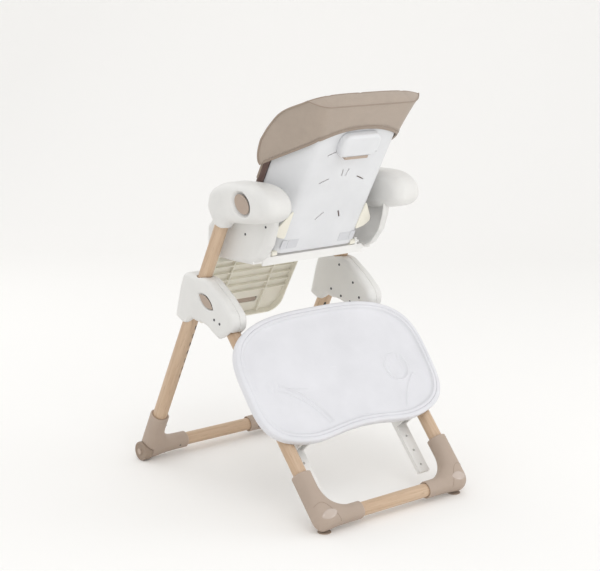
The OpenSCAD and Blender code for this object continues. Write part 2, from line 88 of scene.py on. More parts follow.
# %% Meshes from numpy arrays
def mesh_object(name, points, faces, smooth=True):
    """A mesh object from points in millimetres (n, 3) and faces (m, 3) or (m, 4)."""
    faces = np.asarray(faces)
    mesh = bpy.data.meshes.new(name)
    mesh.vertices.add(len(points))
    mesh.vertices.foreach_set("co", (np.asarray(points, float) * MM).astype(np.float32).ravel())
    mesh.loops.add(faces.size)
    mesh.loops.foreach_set("vertex_index", faces.astype(np.int32).ravel())
    mesh.polygons.add(len(faces))
    mesh.polygons.foreach_set("loop_start", np.arange(0, faces.size, faces.shape[1], dtype=np.int32))
    mesh.update(calc_edges=True)
    mesh.validate()
    mesh.polygons.foreach_set("use_smooth", np.full(len(mesh.polygons), smooth))
    obj = bpy.data.objects.new(name, mesh)
    bpy.context.scene.collection.objects.link(obj)
    return obj


def grid_faces(rows, columns, wrap_rows=False, wrap_columns=False):
    """Quads that join a rows x columns grid of points; a wrapped direction closes on itself."""
    i, j = np.meshgrid(np.arange(rows if wrap_rows else rows - 1),
                       np.arange(columns if wrap_columns else columns - 1), indexing="ij")
    i2, j2 = (i + 1) % rows, (j + 1) % columns
    quads = [i * columns + j, i * columns + j2, i2 * columns + j2, i2 * columns + j]
    return np.stack(quads, -1).reshape(-1, 4)


def grid_object(name, points, wrap_rows=False, wrap_columns=False, place=WORLD):
    """A mesh from an array (rows, columns, 3) of local points."""
    rows, columns = points.shape[:2]
    faces = grid_faces(rows, columns, wrap_rows, wrap_columns)
    return mesh_object(name, out_of(place, points).reshape(-1, 3), faces)


def apply_modifiers(obj):
    """Replaces the mesh by what its modifiers make of it."""
    bpy.context.view_layer.update()
    done = bpy.data.meshes.new_from_object(obj.evaluated_get(bpy.context.evaluated_depsgraph_get()))
    obj.modifiers.clear()
    obj.data = done
    return obj


def edit(obj):
    """Merges double points, points the faces outwards and shades them smooth."""
    bm = bmesh.new()
    bm.from_mesh(obj.data)
    bmesh.ops.remove_doubles(bm, verts=bm.verts, dist=2e-5)
    bmesh.ops.dissolve_degenerate(bm, edges=bm.edges, dist=1e-6)
    bmesh.ops.recalc_face_normals(bm, faces=bm.faces)
    bm.to_mesh(obj.data)
    bm.free()
    obj.data.polygons.foreach_set("use_smooth", np.full(len(obj.data.polygons), True))
    return obj


def outward(obj, reference):
    """Turns an open sheet's faces away from a reference point in millimetres."""
    n = len(obj.data.polygons)
    normal, centre = np.zeros(n * 3), np.zeros(n * 3)
    obj.data.polygons.foreach_get("normal", normal)
    obj.data.polygons.foreach_get("center", centre)
    away = (normal.reshape(-1, 3) * (centre.reshape(-1, 3) - np.array(reference) * MM)).sum()
    if away < 0:
        obj.data.flip_normals()
    return obj


def modifier(obj, kind, **values):
    """Adds a modifier with the values given; subdivision keeps view and render levels equal."""
    m = obj.modifiers.new(kind.lower(), kind)
    for key, value in values.items():
        setattr(m, key, value)
    return m


def flip(obj, name):
    """A copy mirrored in the middle plane, with its faces turned round again."""
    points = np.zeros(len(obj.data.vertices) * 3)
    obj.data.vertices.foreach_get("co", points)
    points = points.reshape(-1, 3) * [-1, 1, 1]
    copy = obj.copy()
    copy.data = obj.data.copy()
    copy.data.vertices.foreach_set("co", points.ravel())
    copy.data.flip_normals()
    copy.name = copy.data.name = name
    bpy.context.scene.collection.objects.link(copy)
    return copy

# %% [markdown]
# A moulded shell is described by a field: a formula that is negative inside the plastic and
# positive outside, close to the distance in millimetres. The surface is found on a lattice of
# cells: each cell that the surface crosses gets one point, and neighbouring cells share a quad.
# Afterwards every point slides along the slope of the field until the field is zero there.

# %% Cast: a mesh from a distance field
def slope(field, p, h=0.3):
    """The gradient of the field by central differences."""
    e = np.eye(3) * h
    return np.stack([(field(p + e[k]) - field(p - e[k])) / (2 * h) for k in range(3)], -1)


def cast(name, field, low, high, step):
    """The zero surface of field(p) inside the box low..high in millimetres, one quad per crossed edge."""
    axes = [np.arange(a, b + step, step) for a, b in zip(low, high)]
    lattice = np.stack(np.meshgrid(*axes, indexing="ij"), -1)
    value = field(lattice)
    inside = value < 0
    cells = tuple(n - 1 for n in value.shape)
    total, count = np.zeros(cells + (3,)), np.zeros(cells)
    quads = []
    for axis in range(3):
        a = [slice(None)] * 3
        b = [slice(None)] * 3
        a[axis], b[axis] = slice(0, -1), slice(1, None)
        va, vb = value[tuple(a)], value[tuple(b)]
        cross = inside[tuple(a)] != inside[tuple(b)]
        share = np.where(cross, va / np.where(cross, va - vb, 1), 0)
        point = lattice[tuple(a)] + share[..., None] * (lattice[tuple(b)] - lattice[tuple(a)])
        u, w = [k for k in range(3) if k != axis]
        for du in (0, 1):
            for dw in (0, 1):
                part = [slice(None)] * 3
                part[u] = slice(du, du + cells[u])
                part[w] = slice(dw, dw + cells[w])
                hit = cross[tuple(part)]
                total += np.where(hit[..., None], point[tuple(part)], 0)
                count += hit
        found = np.argwhere(cross)
        found = found[(found[:, u] > 0) & (found[:, w] > 0) & (found[:, u] < cells[u])
                      & (found[:, w] < cells[w])]
        corner = [found.copy() for _ in range(4)]
        corner[1][:, u] -= 1
        corner[2][:, u] -= 1
        corner[2][:, w] -= 1
        corner[3][:, w] -= 1
        ids = np.stack([np.ravel_multi_index(c.T, cells) for c in corner], -1)
        turn = inside[tuple(found.T)] ^ (axis == 1)
        quads.append(np.where(turn[:, None], ids, ids[:, ::-1]))
    quads = np.concatenate(quads)
    used = np.flatnonzero(count.ravel() > 0)
    number = np.full(count.size, -1)
    number[used] = np.arange(len(used))
    points = total.reshape(-1, 3)[used] / count.ravel()[used, None]
    for _ in range(3):
        g = slope(field, points)
        move = -field(points)[:, None] * g / np.maximum((g * g).sum(-1, keepdims=True), 0.2)
        points += np.clip(move, -step / 2, step / 2)
    quads = number[quads]
    obj = mesh_object(name, points, quads[(quads >= 0).all(1)])
    print(f"  cast {name}: {len(obj.data.polygons)} quads")
    return obj


def smooth_min(a, b, k):
    """The lower of a and b, rounded over a band of k millimetres where they meet."""
    h = np.clip(0.5 + 0.5 * (b - a) / k, 0, 1)
    return b + (a - b) * h - k * h * (1 - h)


def smooth_max(a, b, k):
    """The higher of a and b, rounded over a band of k millimetres."""
    return -smooth_min(-a, -b, k)


def rod(p, place, radius, x=0.0):
    """Distance to an endless rod along the local z axis."""
    q = into(place, p)
    return np.hypot(q[..., 0] - x, q[..., 1]) - radius


def polygon_distance(y, z, corners):
    """Signed distance in a plane to a closed outline, negative inside, one straight side at a time."""
    corners = np.asarray(corners, float)
    best = np.full(y.shape, np.inf)
    odd = np.zeros(y.shape, bool)
    for (y0, z0), (y1, z1) in zip(corners, np.roll(corners, -1, 0)):
        dy, dz = y1 - y0, z1 - z0
        t = np.clip(((y - y0) * dy + (z - z0) * dz) / (dy * dy + dz * dz), 0, 1)
        best = np.minimum(best, np.hypot(y - y0 - t * dy, z - z0 - t * dz))
        spans = (z0 > z) != (z1 > z)
        odd ^= spans & (y < y0 + (z - z0) * dy / (dz if dz else 1e-9))
    return np.where(odd, -best, best)


def slab(flat, depth, half, edge):
    """A plate from its outline distance and the distance across it, with its edges rounded."""
    a, b = flat + edge, np.abs(depth) - half + edge
    return np.minimum(np.maximum(a, b), 0) + np.hypot(np.maximum(a, 0), np.maximum(b, 0)) - edge

# %% [markdown]
# ## Finishes
# Effects that several finishes share are node groups: a fine moulded grain, wear that lightens
# the edges and blotches, a leather grain, a woven pattern and a wood grain. Each material then
# has its own Principled shader and its own numbers.

# %% Shared node groups
def new_group(name, inputs, outputs):
    """An empty shader group with float, colour or vector sockets."""
    group = bpy.data.node_groups.new(name, "ShaderNodeTree")
    for label, kind, value in inputs:
        socket = group.interface.new_socket(label, in_out="INPUT", socket_type="NodeSocket" + kind)
        if value is not None:
            socket.default_value = value
    for label, kind in outputs:
        group.interface.new_socket(label, in_out="OUTPUT", socket_type="NodeSocket" + kind)
    return group, group.nodes.new("NodeGroupInput"), group.nodes.new("NodeGroupOutput")


def node(tree, kind, inputs=(), **settings):
    """Adds a node; inputs is a list of (socket, value or output socket)."""
    n = tree.nodes.new("ShaderNode" + kind)
    for key, value in settings.items():
        setattr(n, key, value)
    for key, value in inputs:
        if isinstance(value, bpy.types.NodeSocket):
            tree.links.new(value, n.inputs[key])
        else:
            n.inputs[key].default_value = value
    return n


def maths(tree, operation, a, b=0.5):
    return node(tree, "Math", [(0, a), (1, b)], operation=operation).outputs[0]


def blend_colour(tree, factor, a, b):
    """Mix of two colours; the factor is a number or a socket."""
    return node(tree, "Mix", [(0, factor), (6, a), (7, b)], data_type="RGBA", blend_type="MIX").outputs[2]


def band(tree, value, low, high, to_low=0.0, to_high=1.0):
    """Maps low..high to to_low..to_high and clamps."""
    return node(tree, "MapRange", [(0, value), (1, low), (2, high), (3, to_low), (4, to_high)]).outputs[0]


def object_point(tree, scale=(1, 1, 1), rotation=(0, 0, 0)):
    coordinate = node(tree, "TexCoord").outputs["Object"]
    return node(tree, "Mapping", [(0, coordinate), (2, rotation), (3, scale)]).outputs[0]


def noise(tree, point, scale, detail=3.0, rough=0.55, distortion=0.0):
    return node(tree, "TexNoise", [(0, point), ("Scale", scale), ("Detail", detail),
                                   ("Roughness", rough), ("Distortion", distortion)]).outputs["Fac"]


def moulding_group():
    """Fine spark grain for the bump, and slow blotches that vary colour and gloss a little."""
    g, enter, leave = new_group("moulded grain", [("Point", "Vector", None), ("Grain size", "Float", 900.0)],
                                [("Height", "Float"), ("Blotch", "Float")])
    fine = node(g, "TexNoise", [(0, enter.outputs[0]), ("Scale", enter.outputs[1]), ("Detail", 2.0)])
    slow = noise(g, enter.outputs[0], 9.0, 4.0)
    g.links.new(fine.outputs["Fac"], leave.inputs[0])
    g.links.new(slow, leave.inputs[1])
    return g


def wear_group():
    """Light scuffs: thin stretched noise, cut to a few streaks, strongest where pointiness is high."""
    g, enter, leave = new_group("scuffs", [("Point", "Vector", None)], [("Scuff", "Float"), ("Edge", "Float")])
    stretched = node(g, "Mapping", [(0, enter.outputs[0]), (2, (0.4, 0.7, 0.2)), (3, (60.0, 900.0, 240.0))])
    streak = band(g, noise(g, stretched.outputs[0], 1.0, 2.0), 0.70, 0.78)
    patches = band(g, noise(g, enter.outputs[0], 14.0, 2.0), 0.52, 0.68)
    g.links.new(maths(g, "MULTIPLY", streak, patches), leave.inputs[0])
    pointed = node(g, "NewGeometry").outputs["Pointiness"]
    g.links.new(band(g, pointed, 0.52, 0.60), leave.inputs[1])
    return g


def leather_group():
    """Pebbled leather grain: cell distance for the pebbles, noise for pores, soft creases on top."""
    g, enter, leave = new_group("leather grain", [("Point", "Vector", None), ("Size", "Float", 500.0)],
                                [("Height", "Float"), ("Crease", "Float")])
    warp = noise(g, enter.outputs[0], 120.0, 2.0)
    bent = node(g, "VectorMath", [(0, enter.outputs[0]), (1, node(g, "CombineXYZ", [(0, maths(
        g, "MULTIPLY", warp, 0.004)), (1, maths(g, "MULTIPLY", warp, 0.003))]).outputs[0])], operation="ADD")
    pebble = node(g, "TexVoronoi", [(0, bent.outputs[0]), ("Scale", enter.outputs[1])],
                  feature="DISTANCE_TO_EDGE").outputs["Distance"]
    pores = noise(g, enter.outputs[0], 1400.0, 2.0)
    crease = band(g, noise(g, enter.outputs[0], 26.0, 5.0, 0.6, 0.8), 0.35, 0.65)
    rounded = band(g, pebble, 0.0, 0.22)
    g.links.new(maths(g, "ADD", rounded, maths(g, "MULTIPLY", pores, 0.25)), leave.inputs[0])
    g.links.new(crease, leave.inputs[1])
    return g


def weave_group():
    """Webbing: two crossed waves, one per thread direction, on the strap's own UV map."""
    g, enter, leave = new_group("weave", [("Point", "Vector", None), ("Threads", "Float", 300.0)],
                                [("Height", "Float")])
    along = node(g, "TexWave", [(0, enter.outputs[0]), ("Scale", enter.outputs[1])], bands_direction="X")
    across = node(g, "TexWave", [(0, enter.outputs[0]), ("Scale", enter.outputs[1])], bands_direction="Y")
    g.links.new(maths(g, "MULTIPLY", along.outputs["Fac"], across.outputs["Fac"]), leave.inputs[0])
    return g


def wood_group():
    """Beech grain along the local z axis: long streaks from stretched noise, with short dark flecks."""
    g, enter, leave = new_group("wood grain", [("Point", "Vector", None)],
                                [("Streak", "Float"), ("Fleck", "Float"), ("Tone", "Float")])
    long_point = node(g, "Mapping", [(0, enter.outputs[0]), (3, (95.0, 95.0, 3.2))]).outputs[0]
    fine_point = node(g, "Mapping", [(0, enter.outputs[0]), (3, (420.0, 420.0, 26.0))]).outputs[0]
    streak = noise(g, long_point, 1.0, 5.0, 0.62, 1.2)
    fleck = band(g, noise(g, fine_point, 1.0, 2.0), 0.60, 0.72)
    tone = noise(g, node(g, "Mapping", [(0, enter.outputs[0]), (3, (22.0, 22.0, 1.6))]).outputs[0], 1.0, 2.0)
    g.links.new(band(g, streak, 0.32, 0.68), leave.inputs[0])
    g.links.new(fleck, leave.inputs[1])
    g.links.new(band(g, tone, 0.35, 0.65), leave.inputs[2])
    return g


GRAIN, SCUFFS, LEATHER, WEAVE, WOOD = (moulding_group(), wear_group(), leather_group(), weave_group(),
                                       wood_group())


def use_group(tree, group, *inputs):
    n = tree.nodes.new("ShaderNodeGroup")
    n.node_tree = group
    for key, value in enumerate(inputs):
        if isinstance(value, bpy.types.NodeSocket):
            tree.links.new(value, n.inputs[key])
        else:
            n.inputs[key].default_value = value
    return n

# %% [markdown]
# Colours are chosen as sRGB values, which is how a colour looks on a screen, and turned into the
# linear values that the shader wants.

# %% Materials
def linear(r, g, b):
    """sRGB 0..255 to linear 0..1: c/12.92 below 0.04045, ((c + 0.055)/1.055)^2.4 above."""
    c = np.array([r, g, b]) / 255.0
    c = np.where(c < 0.04045, c / 12.92, ((c + 0.055) / 1.055) ** 2.4)
    return (*[float(x) for x in c], 1.0)


def new_material(name, base, roughness=0.5, **sockets):
    """A material with a Principled shader; returns it, its tree and its shader."""
    m = bpy.data.materials.new(name)
    m.use_nodes = True
    shader = m.node_tree.nodes["Principled BSDF"]
    shader.inputs["Base Color"].default_value = base
    shader.inputs["Roughness"].default_value = roughness
    for key, value in sockets.items():
        shader.inputs[key.replace("_", " ")].default_value = value
    return m, m.node_tree, shader


def bump(tree, shader, height, strength, distance):
    b = node(tree, "Bump", [("Strength", strength), ("Distance", distance), ("Height", height)])
    tree.links.new(b.outputs[0], shader.inputs["Normal"])


def moulded_plastic(name, rgb, roughness, grain, strength, scuff=0.25, coat=0.0):
    """Injection moulded plastic: a quiet blotch in colour and gloss, spark grain, faint scuffs."""
    base = linear(*rgb)
    m, tree, shader = new_material(name, base, roughness, Coat_Weight=coat, Coat_Roughness=0.2)
    point = object_point(tree)
    grains = use_group(tree, GRAIN, point, grain)
    scuffs = use_group(tree, SCUFFS, point)
    darker = linear(*[c * 0.965 for c in rgb])
    worn = linear(*[min(255, c * 1.05 + 4) for c in rgb])
    colour = blend_colour(tree, band(tree, grains.outputs["Blotch"], 0.3, 0.7), base, darker)
    colour = blend_colour(tree, maths(tree, "MULTIPLY", scuffs.outputs["Edge"], 0.5), colour, worn)
    tree.links.new(colour, shader.inputs["Base Color"])
    rough = maths(tree, "ADD", band(tree, grains.outputs["Blotch"], 0.3, 0.7, roughness - 0.04, roughness + 0.05),
                  maths(tree, "MULTIPLY", scuffs.outputs["Scuff"], scuff))
    tree.links.new(rough, shader.inputs["Roughness"])
    bump(tree, shader, grains.outputs["Height"], strength, 0.0003)
    return m


def leatherette(name, rgb, roughness=0.5):
    """Coated upholstery: pebbled grain, slightly darker in the creases, with a soft sheen."""
    base = linear(*rgb)
    m, tree, shader = new_material(name, base, roughness, Sheen_Weight=0.15, Sheen_Roughness=0.5)
    grain = use_group(tree, LEATHER, object_point(tree), 520.0)
    colour = blend_colour(tree, grain.outputs["Crease"], linear(*[c * 0.972 for c in rgb]), base)
    colour = blend_colour(tree, band(tree, grain.outputs["Height"], 0.0, 0.5, 0.35, 0.0), colour,
                          linear(*[c * 0.80 for c in rgb]))
    tree.links.new(colour, shader.inputs["Base Color"])
    tree.links.new(band(tree, grain.outputs["Height"], 0.0, 1.2, roughness + 0.1, roughness - 0.05),
                   shader.inputs["Roughness"])
    bump(tree, shader, grain.outputs["Height"], 0.35, 0.0004)
    return m


def wood_film(name, turn):
    """Beech-grain film on a tube; turn lays the grain along the tube."""
    light, mid, dark = linear(212, 187, 160), linear(194, 166, 138), linear(150, 120, 94)
    m, tree, shader = new_material(name, mid, 0.42)
    grain = use_group(tree, WOOD, object_point(tree, rotation=turn))
    colour = blend_colour(tree, grain.outputs["Streak"], mid, light)
    colour = blend_colour(tree, maths(tree, "MULTIPLY", grain.outputs["Tone"], 0.35), colour, linear(180, 149, 120))
    colour = blend_colour(tree, maths(tree, "MULTIPLY", grain.outputs["Fleck"], 0.45), colour, dark)
    tree.links.new(colour, shader.inputs["Base Color"])
    tree.links.new(band(tree, grain.outputs["Streak"], 0.0, 1.0, 0.46, 0.38), shader.inputs["Roughness"])
    bump(tree, shader, maths(tree, "SUBTRACT", grain.outputs["Streak"], grain.outputs["Fleck"]), 0.12, 0.0003)
    return m


def metal(name, rgb, roughness):
    """Zinc-plated steel with fine brushing."""
    m, tree, shader = new_material(name, linear(*rgb), roughness, Metallic=1.0)
    brushed = noise(tree, object_point(tree, (1400.0, 90.0, 90.0)), 1.0, 3.0)
    tree.links.new(band(tree, brushed, 0.3, 0.7, roughness - 0.08, roughness + 0.12), shader.inputs["Roughness"])
    bump(tree, shader, brushed, 0.15, 0.0002)
    return m


def webbing(name, rgb):
    """Woven strap: two thread directions on Object coordinates, slightly fuzzy."""
    m, tree, shader = new_material(name, linear(*rgb), 0.85, Sheen_Weight=0.3)
    threads = use_group(tree, WEAVE, object_point(tree, rotation=(0, 0, 0.3)), 170.0)
    colour = blend_colour(tree, threads.outputs[0], linear(*[c * 0.7 for c in rgb]), linear(*rgb))
    tree.links.new(colour, shader.inputs["Base Color"])
    bump(tree, shader, threads.outputs[0], 0.6, 0.0006)
    return m


def lean_turn(lean):
    return (math.radians(-lean), 0.0, 0.0)


finish = {
    "front_wood": wood_film("wood film, front tubes", lean_turn(FRONT_LEAN)),
    "rear_wood": wood_film("wood film, rear legs", lean_turn(REAR_LEAN)),
    "cross_wood": wood_film("wood film, cross tubes", (0.0, math.radians(90), 0.0)),
    "white": moulded_plastic("white plastic", (229, 228, 225), 0.42, 1100.0, 0.10),
    "panel": moulded_plastic("white back panel", (229, 230, 232), 0.34, 900.0, 0.06),
    "cream": moulded_plastic("cream plastic", (244, 240, 226), 0.50, 900.0, 0.12),
    "tray": moulded_plastic("tray plastic", (226, 226, 230), 0.4, 1000.0, 0.015, 0.0),
    "taupe": moulded_plastic("taupe plastic", (180, 162, 147), 0.55, 800.0, 0.35),
    "taupe_gloss": moulded_plastic("taupe badge", (196, 180, 168), 0.22, 800.0, 0.02, coat=0.5),
    "tyre": moulded_plastic("taupe tyre", (158, 140, 124), 0.65, 700.0, 0.4),
    "black": moulded_plastic("black moulding", (56, 54, 53), 0.42, 900.0, 0.15),
    "sticker": moulded_plastic("blank label film", (206, 207, 210), 0.45, 600.0, 0.03),
    "hood": leatherette("hood leatherette", (176, 161, 147)),
    "hem": leatherette("hem leatherette", (160, 143, 128)),
    "pad": leatherette("pad leatherette", (104, 80, 72), 0.45),
    "thread": webbing("stitching thread", (196, 182, 168)),
    "webbing": webbing("strap webbing", (74, 58, 52)),
    "steel": metal("zinc plated steel", (178, 180, 184), 0.34),
    "screw": metal("dark screw", (92, 92, 95), 0.42),
}
print("finishes:", len(finish))

# %% Dress a piece
def dress(obj, body, look, slot, *stands_for):
    """Gives a new piece its finish, its body and the CAD nodes that it stands for; slot is not used."""
    obj.data.materials.clear()
    obj.data.materials.append(finish[look])
    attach(obj, body)
    if stands_for:
        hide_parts(*stands_for)
    return obj


def dress_pair(obj, body, look, slot, *stands_for):
    """Dresses a left piece and its mirrored copy, whose name and CAD nodes say right."""
    dress(obj, body, look, slot, *stands_for)
    dress(flip(obj, obj.name.replace("left", "right")), body, look, slot,
          *[name.replace("left", "right") for name in stands_for])


def repaint(look, *names):
    """A CAD node whose shape is right keeps it and gets a better finish."""
    for name in names:
        materials = nodes[name].data.materials
        for k in range(max(1, len(materials))):
            if len(materials):
                materials[k] = finish[look]
            else:
                materials.append(finish[look])


for side in SIDES:
    repaint("front_wood", f"front_tube_{side}", f"upper_tube_{side}")
    repaint("rear_wood", f"rear_leg_{side}")
    repaint("white", f"tray_arm_{side}", f"hub_outer_{side}", f"hub_inner_{side}", f"armrest_{side}",
            f"side_panel_{side}")
    repaint("tyre", f"wheel_{side}")
    repaint("taupe", f"fold_button_{side}", f"height_button_{side}", f"front_boot_{side}", f"rear_boot_{side}")
repaint("cross_wood", "front_cross_tube", "rear_cross_tube")
repaint("panel", "back_shell", "handle_housing")
repaint("cream", "legrest_panel")
repaint("white", "seat_pan", "back_hinge_pins", "tray_screws")
repaint("tray", "tray_base", "tray_insert")
repaint("taupe", "recline_lever", "footrest", "tray_release", "wheel_axles")
repaint("taupe_gloss", "boot_badges")
repaint("steel", "hub_pins", "height_pins", "legrest_pins", "footrest_rod")
repaint("screw", "boot_screws")
repaint("black", "tube_bushes", "rear_leg_lugs", "buckle")
repaint("tyre", "rear_glides")
repaint("sticker", "label_plates")
repaint("webbing", "lap_belt", "shoulder_straps")
repaint("pad", "seat_pad", "back_pad", "legrest_pad")
repaint("hood", "hood")

# %% [markdown]
# ## Hubs
# Each hub is two white shells round the front tube with a lobe over the rear leg's pivot. Seen
# from the side it is a smooth boomerang, and its outer edges are fully rounded. A plate with
# rounded edges is simple as a field: the outline's distance and the distance across the plate.

# %% Hub shells
PIVOT_Y, PIVOT_Z = -49.8, 520.0


def rounded_profile(corners, radius, steps=5):
    """Replaces each corner of a closed profile by a short curve: a quadratic through its neighbours."""
    corners = np.asarray(corners, float)
    before, after = np.roll(corners, 1, 0), np.roll(corners, -1, 0)
    t = np.linspace(0, 1, steps)[:, None]
    out = []
    for p, a, b in zip(corners, before, after):
        start = p + (a - p) * min(0.45, radius / max(np.linalg.norm(a - p), 1e-6))
        end = p + (b - p) * min(0.45, radius / max(np.linalg.norm(b - p), 1e-6))
        out.append((1 - t) ** 2 * start + 2 * t * (1 - t) * p + t ** 2 * end)
    return np.concatenate(out)


hub_corners = rounded_profile(
    [(-206, 450), (-181, 537), (-166, 571), (-147, 577), (-117, 572), (-87, 573), (-58, 570), (-32, 554), (5, 531),
     (29, 511), (48, 494), (54, 474), (50, 452), (20, 430), (-9, 418), (-36, 430), (-60, 444), (-88, 450),
     (-112, 449), (-134, 455), (-152, 438), (-170, 434)], 9.0, 4)


def leaf(y, z, centre, turn, length, width):
    """Distance to a leaf: the overlap of two circles of radius (l^2 + w^2)/(4 w)."""
    c, s = math.cos(math.radians(turn)), math.sin(math.radians(turn))
    u = (y - centre[0]) * c + (z - centre[1]) * s
    v = -(y - centre[0]) * s + (z - centre[1]) * c
    radius = (length ** 2 + width ** 2) / (4 * width)
    shift = radius - width / 2
    return np.maximum(np.hypot(u, v - shift), np.hypot(u, v + shift)) - radius


LEAF_CENTRE, LEAF_TURN = (-64.0, 511.0), -28.0


def leg_room(p):
    """The slot that the rear leg sweeps: a wedge below the pivot, 19 mm each side of the leg's plane."""
    y, z = p[..., 1] - PIVOT_Y, p[..., 2] - PIVOT_Z
    fold = REAR_LEAN - 65
    wedge = -np.inf
    for lean, sign in ((REAR_LEAN, 1), (fold, -1)):
        c, s = math.cos(math.radians(lean)), math.sin(math.radians(lean))
        wedge = np.maximum(wedge, sign * (y * c + z * s) - 19.4)
    wedge = np.maximum(wedge, z - 8)
    wedge = np.minimum(wedge, np.hypot(y, z) - 22.6)
    return np.maximum(wedge, np.abs(p[..., 0] - LEG_X) - 19.2)


def hub_field(p):
    """Rounded plate, less the tube, the leg's room and, on the outer face, the leaf-shaped well."""
    flat = polygon_distance(p[..., 1], p[..., 2], hub_corners)
    d = slab(flat, p[..., 0] - LEG_X, 26.2, 13.0)
    d = smooth_max(d, -rod(p, FRONT, 20.5), 1.5)
    d = smooth_max(d, -leg_room(p), 1.5)
    well = leaf(p[..., 1], p[..., 2], LEAF_CENTRE, LEAF_TURN, 80.0, 35.0) + (LEG_X + 26.2 - p[..., 0]) * 0.7
    well = np.maximum(well, LEG_X + 20.6 - p[..., 0])
    return smooth_max(d, -well, 2.0)


hub_low, hub_high = (205.0, -216.0, 402.0), (265.0, 62.0, 592.0)
SPLIT = 235.0


def half_field(keep):
    """One shell of the hub: the field cut at the split plane with a hair of a gap."""
    return lambda p: smooth_max(hub_field(p), keep * (SPLIT - p[..., 0]) + 0.25, 0.6)


for part, keep, low_x, high_x in (("outer", 1, 233.0, 265.0), ("inner", -1, 205.0, 237.0)):
    shell = cast(f"hub_{part}_shell_left", half_field(keep), (low_x, *hub_low[1:]), (high_x, *hub_high[1:]), 2.1)
    mirrored = flip(shell, f"hub_{part}_shell_right")
    dress(shell, "front_frame", "white", "white_plastic", f"hub_{part}_left")
    dress(mirrored, "front_frame", "white", "white_plastic", f"hub_{part}_right")

# %% [markdown]
# ## Fold buttons and height buttons
# Both are thin taupe paddles at the bottom of a dish. A disc grid works for both: rings from the
# middle to the rim, with the rim's shape and the dish's depth as formulas.

# %% Button paddles
def disc_object(name, rim, height, rings=18, spokes=96, thickness=1.6):
    """A closed paddle: rim(a) gives (y, z) of the rim, height(r) its x; a second layer lies below."""
    angle = np.linspace(0, 2 * np.pi, spokes, endpoint=False)
    r = np.concatenate([np.linspace(0.0, 1.0, rings), [1.0], np.linspace(1.0, 0.0, rings)])
    layer = np.concatenate([np.zeros(rings), [0.5], np.ones(rings)])
    y, z = rim(angle)
    centre_y, centre_z = y.mean(), z.mean()
    points = np.stack([height(r)[:, None] - layer[:, None] * thickness + 0 * y[None],
                       centre_y + r[:, None] * (y - centre_y)[None],
                       centre_z + r[:, None] * (z - centre_z)[None]], -1)
    return edit(grid_object(name, points, wrap_columns=True))


def leaf_rim(length, width):
    """The leaf's rim: half-width w (1 - u^2) at the place u along it."""
    def rim(a):
        u, v = np.cos(a), np.sign(np.sin(a)) * (1 - np.cos(a) ** 2)
        c, s = math.cos(math.radians(LEAF_TURN)), math.sin(math.radians(LEAF_TURN))
        along, across = u * length / 2, v * width / 2
        return LEAF_CENTRE[0] + along * c - across * s, LEAF_CENTRE[1] + along * s + across * c
    return rim


DISH_CENTRE, DISH_TURN = (90.0, 785.0), -30.0


def oval_rim(length, width):
    """An oval of the given length and width, turned like the dish."""
    def rim(a):
        c, s = math.cos(math.radians(DISH_TURN)), math.sin(math.radians(DISH_TURN))
        along, across = np.cos(a) * length / 2, np.sin(a) * width / 2
        return DISH_CENTRE[0] + along * c - across * s, DISH_CENTRE[1] + along * s + across * c
    return rim


fold_paddle = disc_object("fold_paddle_left", leaf_rim(66.0, 25.0), lambda r: 258.7 + 0.6 * r ** 2, thickness=1.0)
height_paddle = disc_object("height_paddle_left", oval_rim(62.0, 44.0), lambda r: 253.4 + 3.8 * r ** 2,
                            thickness=1.4)
for side in SIDES:
    for paddle, body, nodename in ((fold_paddle, "fold_press", "fold_button"),
                                   (height_paddle, "height_press", "height_button")):
        piece = paddle if side == "left" else flip(paddle, paddle.name.replace("left", "right"))
        dress(piece, f"{body}_{side[0]}", "taupe", "taupe_plastic", f"{nodename}_{side}")
print("paddles:", len(fold_paddle.data.polygons), "and", len(height_paddle.data.polygons), "faces")

# %% [markdown]
# ## Armrests
# An armrest is a plump pod on a sleeve that grips the upper tube. The pod is a stretched capsule,
# the sleeve a short rod round the tube, and a smooth minimum blends them like moulded plastic.

# %% Armrest pods
armrest_corners = rounded_profile(
    [(-52, 806), (-12, 826), (26, 834), (104, 836), (144, 834), (176, 823), (196, 804), (202, 782), (197, 760),
     (172, 744), (109, 735), (47, 730), (0, 726), (-44, 728), (-66, 760)], 14.0, 4)


def armrest_field(p):
    """Pillow-shaped pod and round sleeve blended, less the tube's bore and the dish on the outer side."""
    pod = slab(polygon_distance(p[..., 1], p[..., 2], armrest_corners), p[..., 0] - 217.0, 44.5, 27.0)
    q = into(FRONT, p)
    around = np.hypot(q[..., 0], q[..., 1]) - 26.0
    sleeve = slab(around, q[..., 2] - 822.0, 50.0, 10.0)
    d = smooth_min(pod, sleeve, 14.0)
    d = smooth_max(d, -np.maximum(np.hypot(q[..., 0], q[..., 1]) - 18.3, q[..., 2] - 835.0), 1.5)
    c, s = math.cos(math.radians(DISH_TURN)), math.sin(math.radians(DISH_TURN))
    y, z = p[..., 1] - DISH_CENTRE[0], p[..., 2] - DISH_CENTRE[1]
    along, across = y * c + z * s, -y * s + z * c
    dish = (np.sqrt((along / 41.0) ** 2 + (across / 32.0) ** 2 + ((p[..., 0] - 264.0) / 20.0) ** 2) - 1) * 20.0
    return smooth_max(d, -dish, 2.5)


armrest = cast("armrest_pod_left", armrest_field, (166.0, -72.0, 712.0), (268.0, 206.0, 842.0), 2.4)
dress_pair(armrest, "seat", "white", "white_plastic", "armrest_left")

# %% [markdown]
# ## Side panels
# Below each armrest a white tub-like panel closes the seat. Its outline is a rounded polygon; the
# face curves inwards at its edges and the plastic is 4.5 mm thick, so the field is a shell:
# inside the rounded plate, but outside the same plate made 4.5 mm smaller.

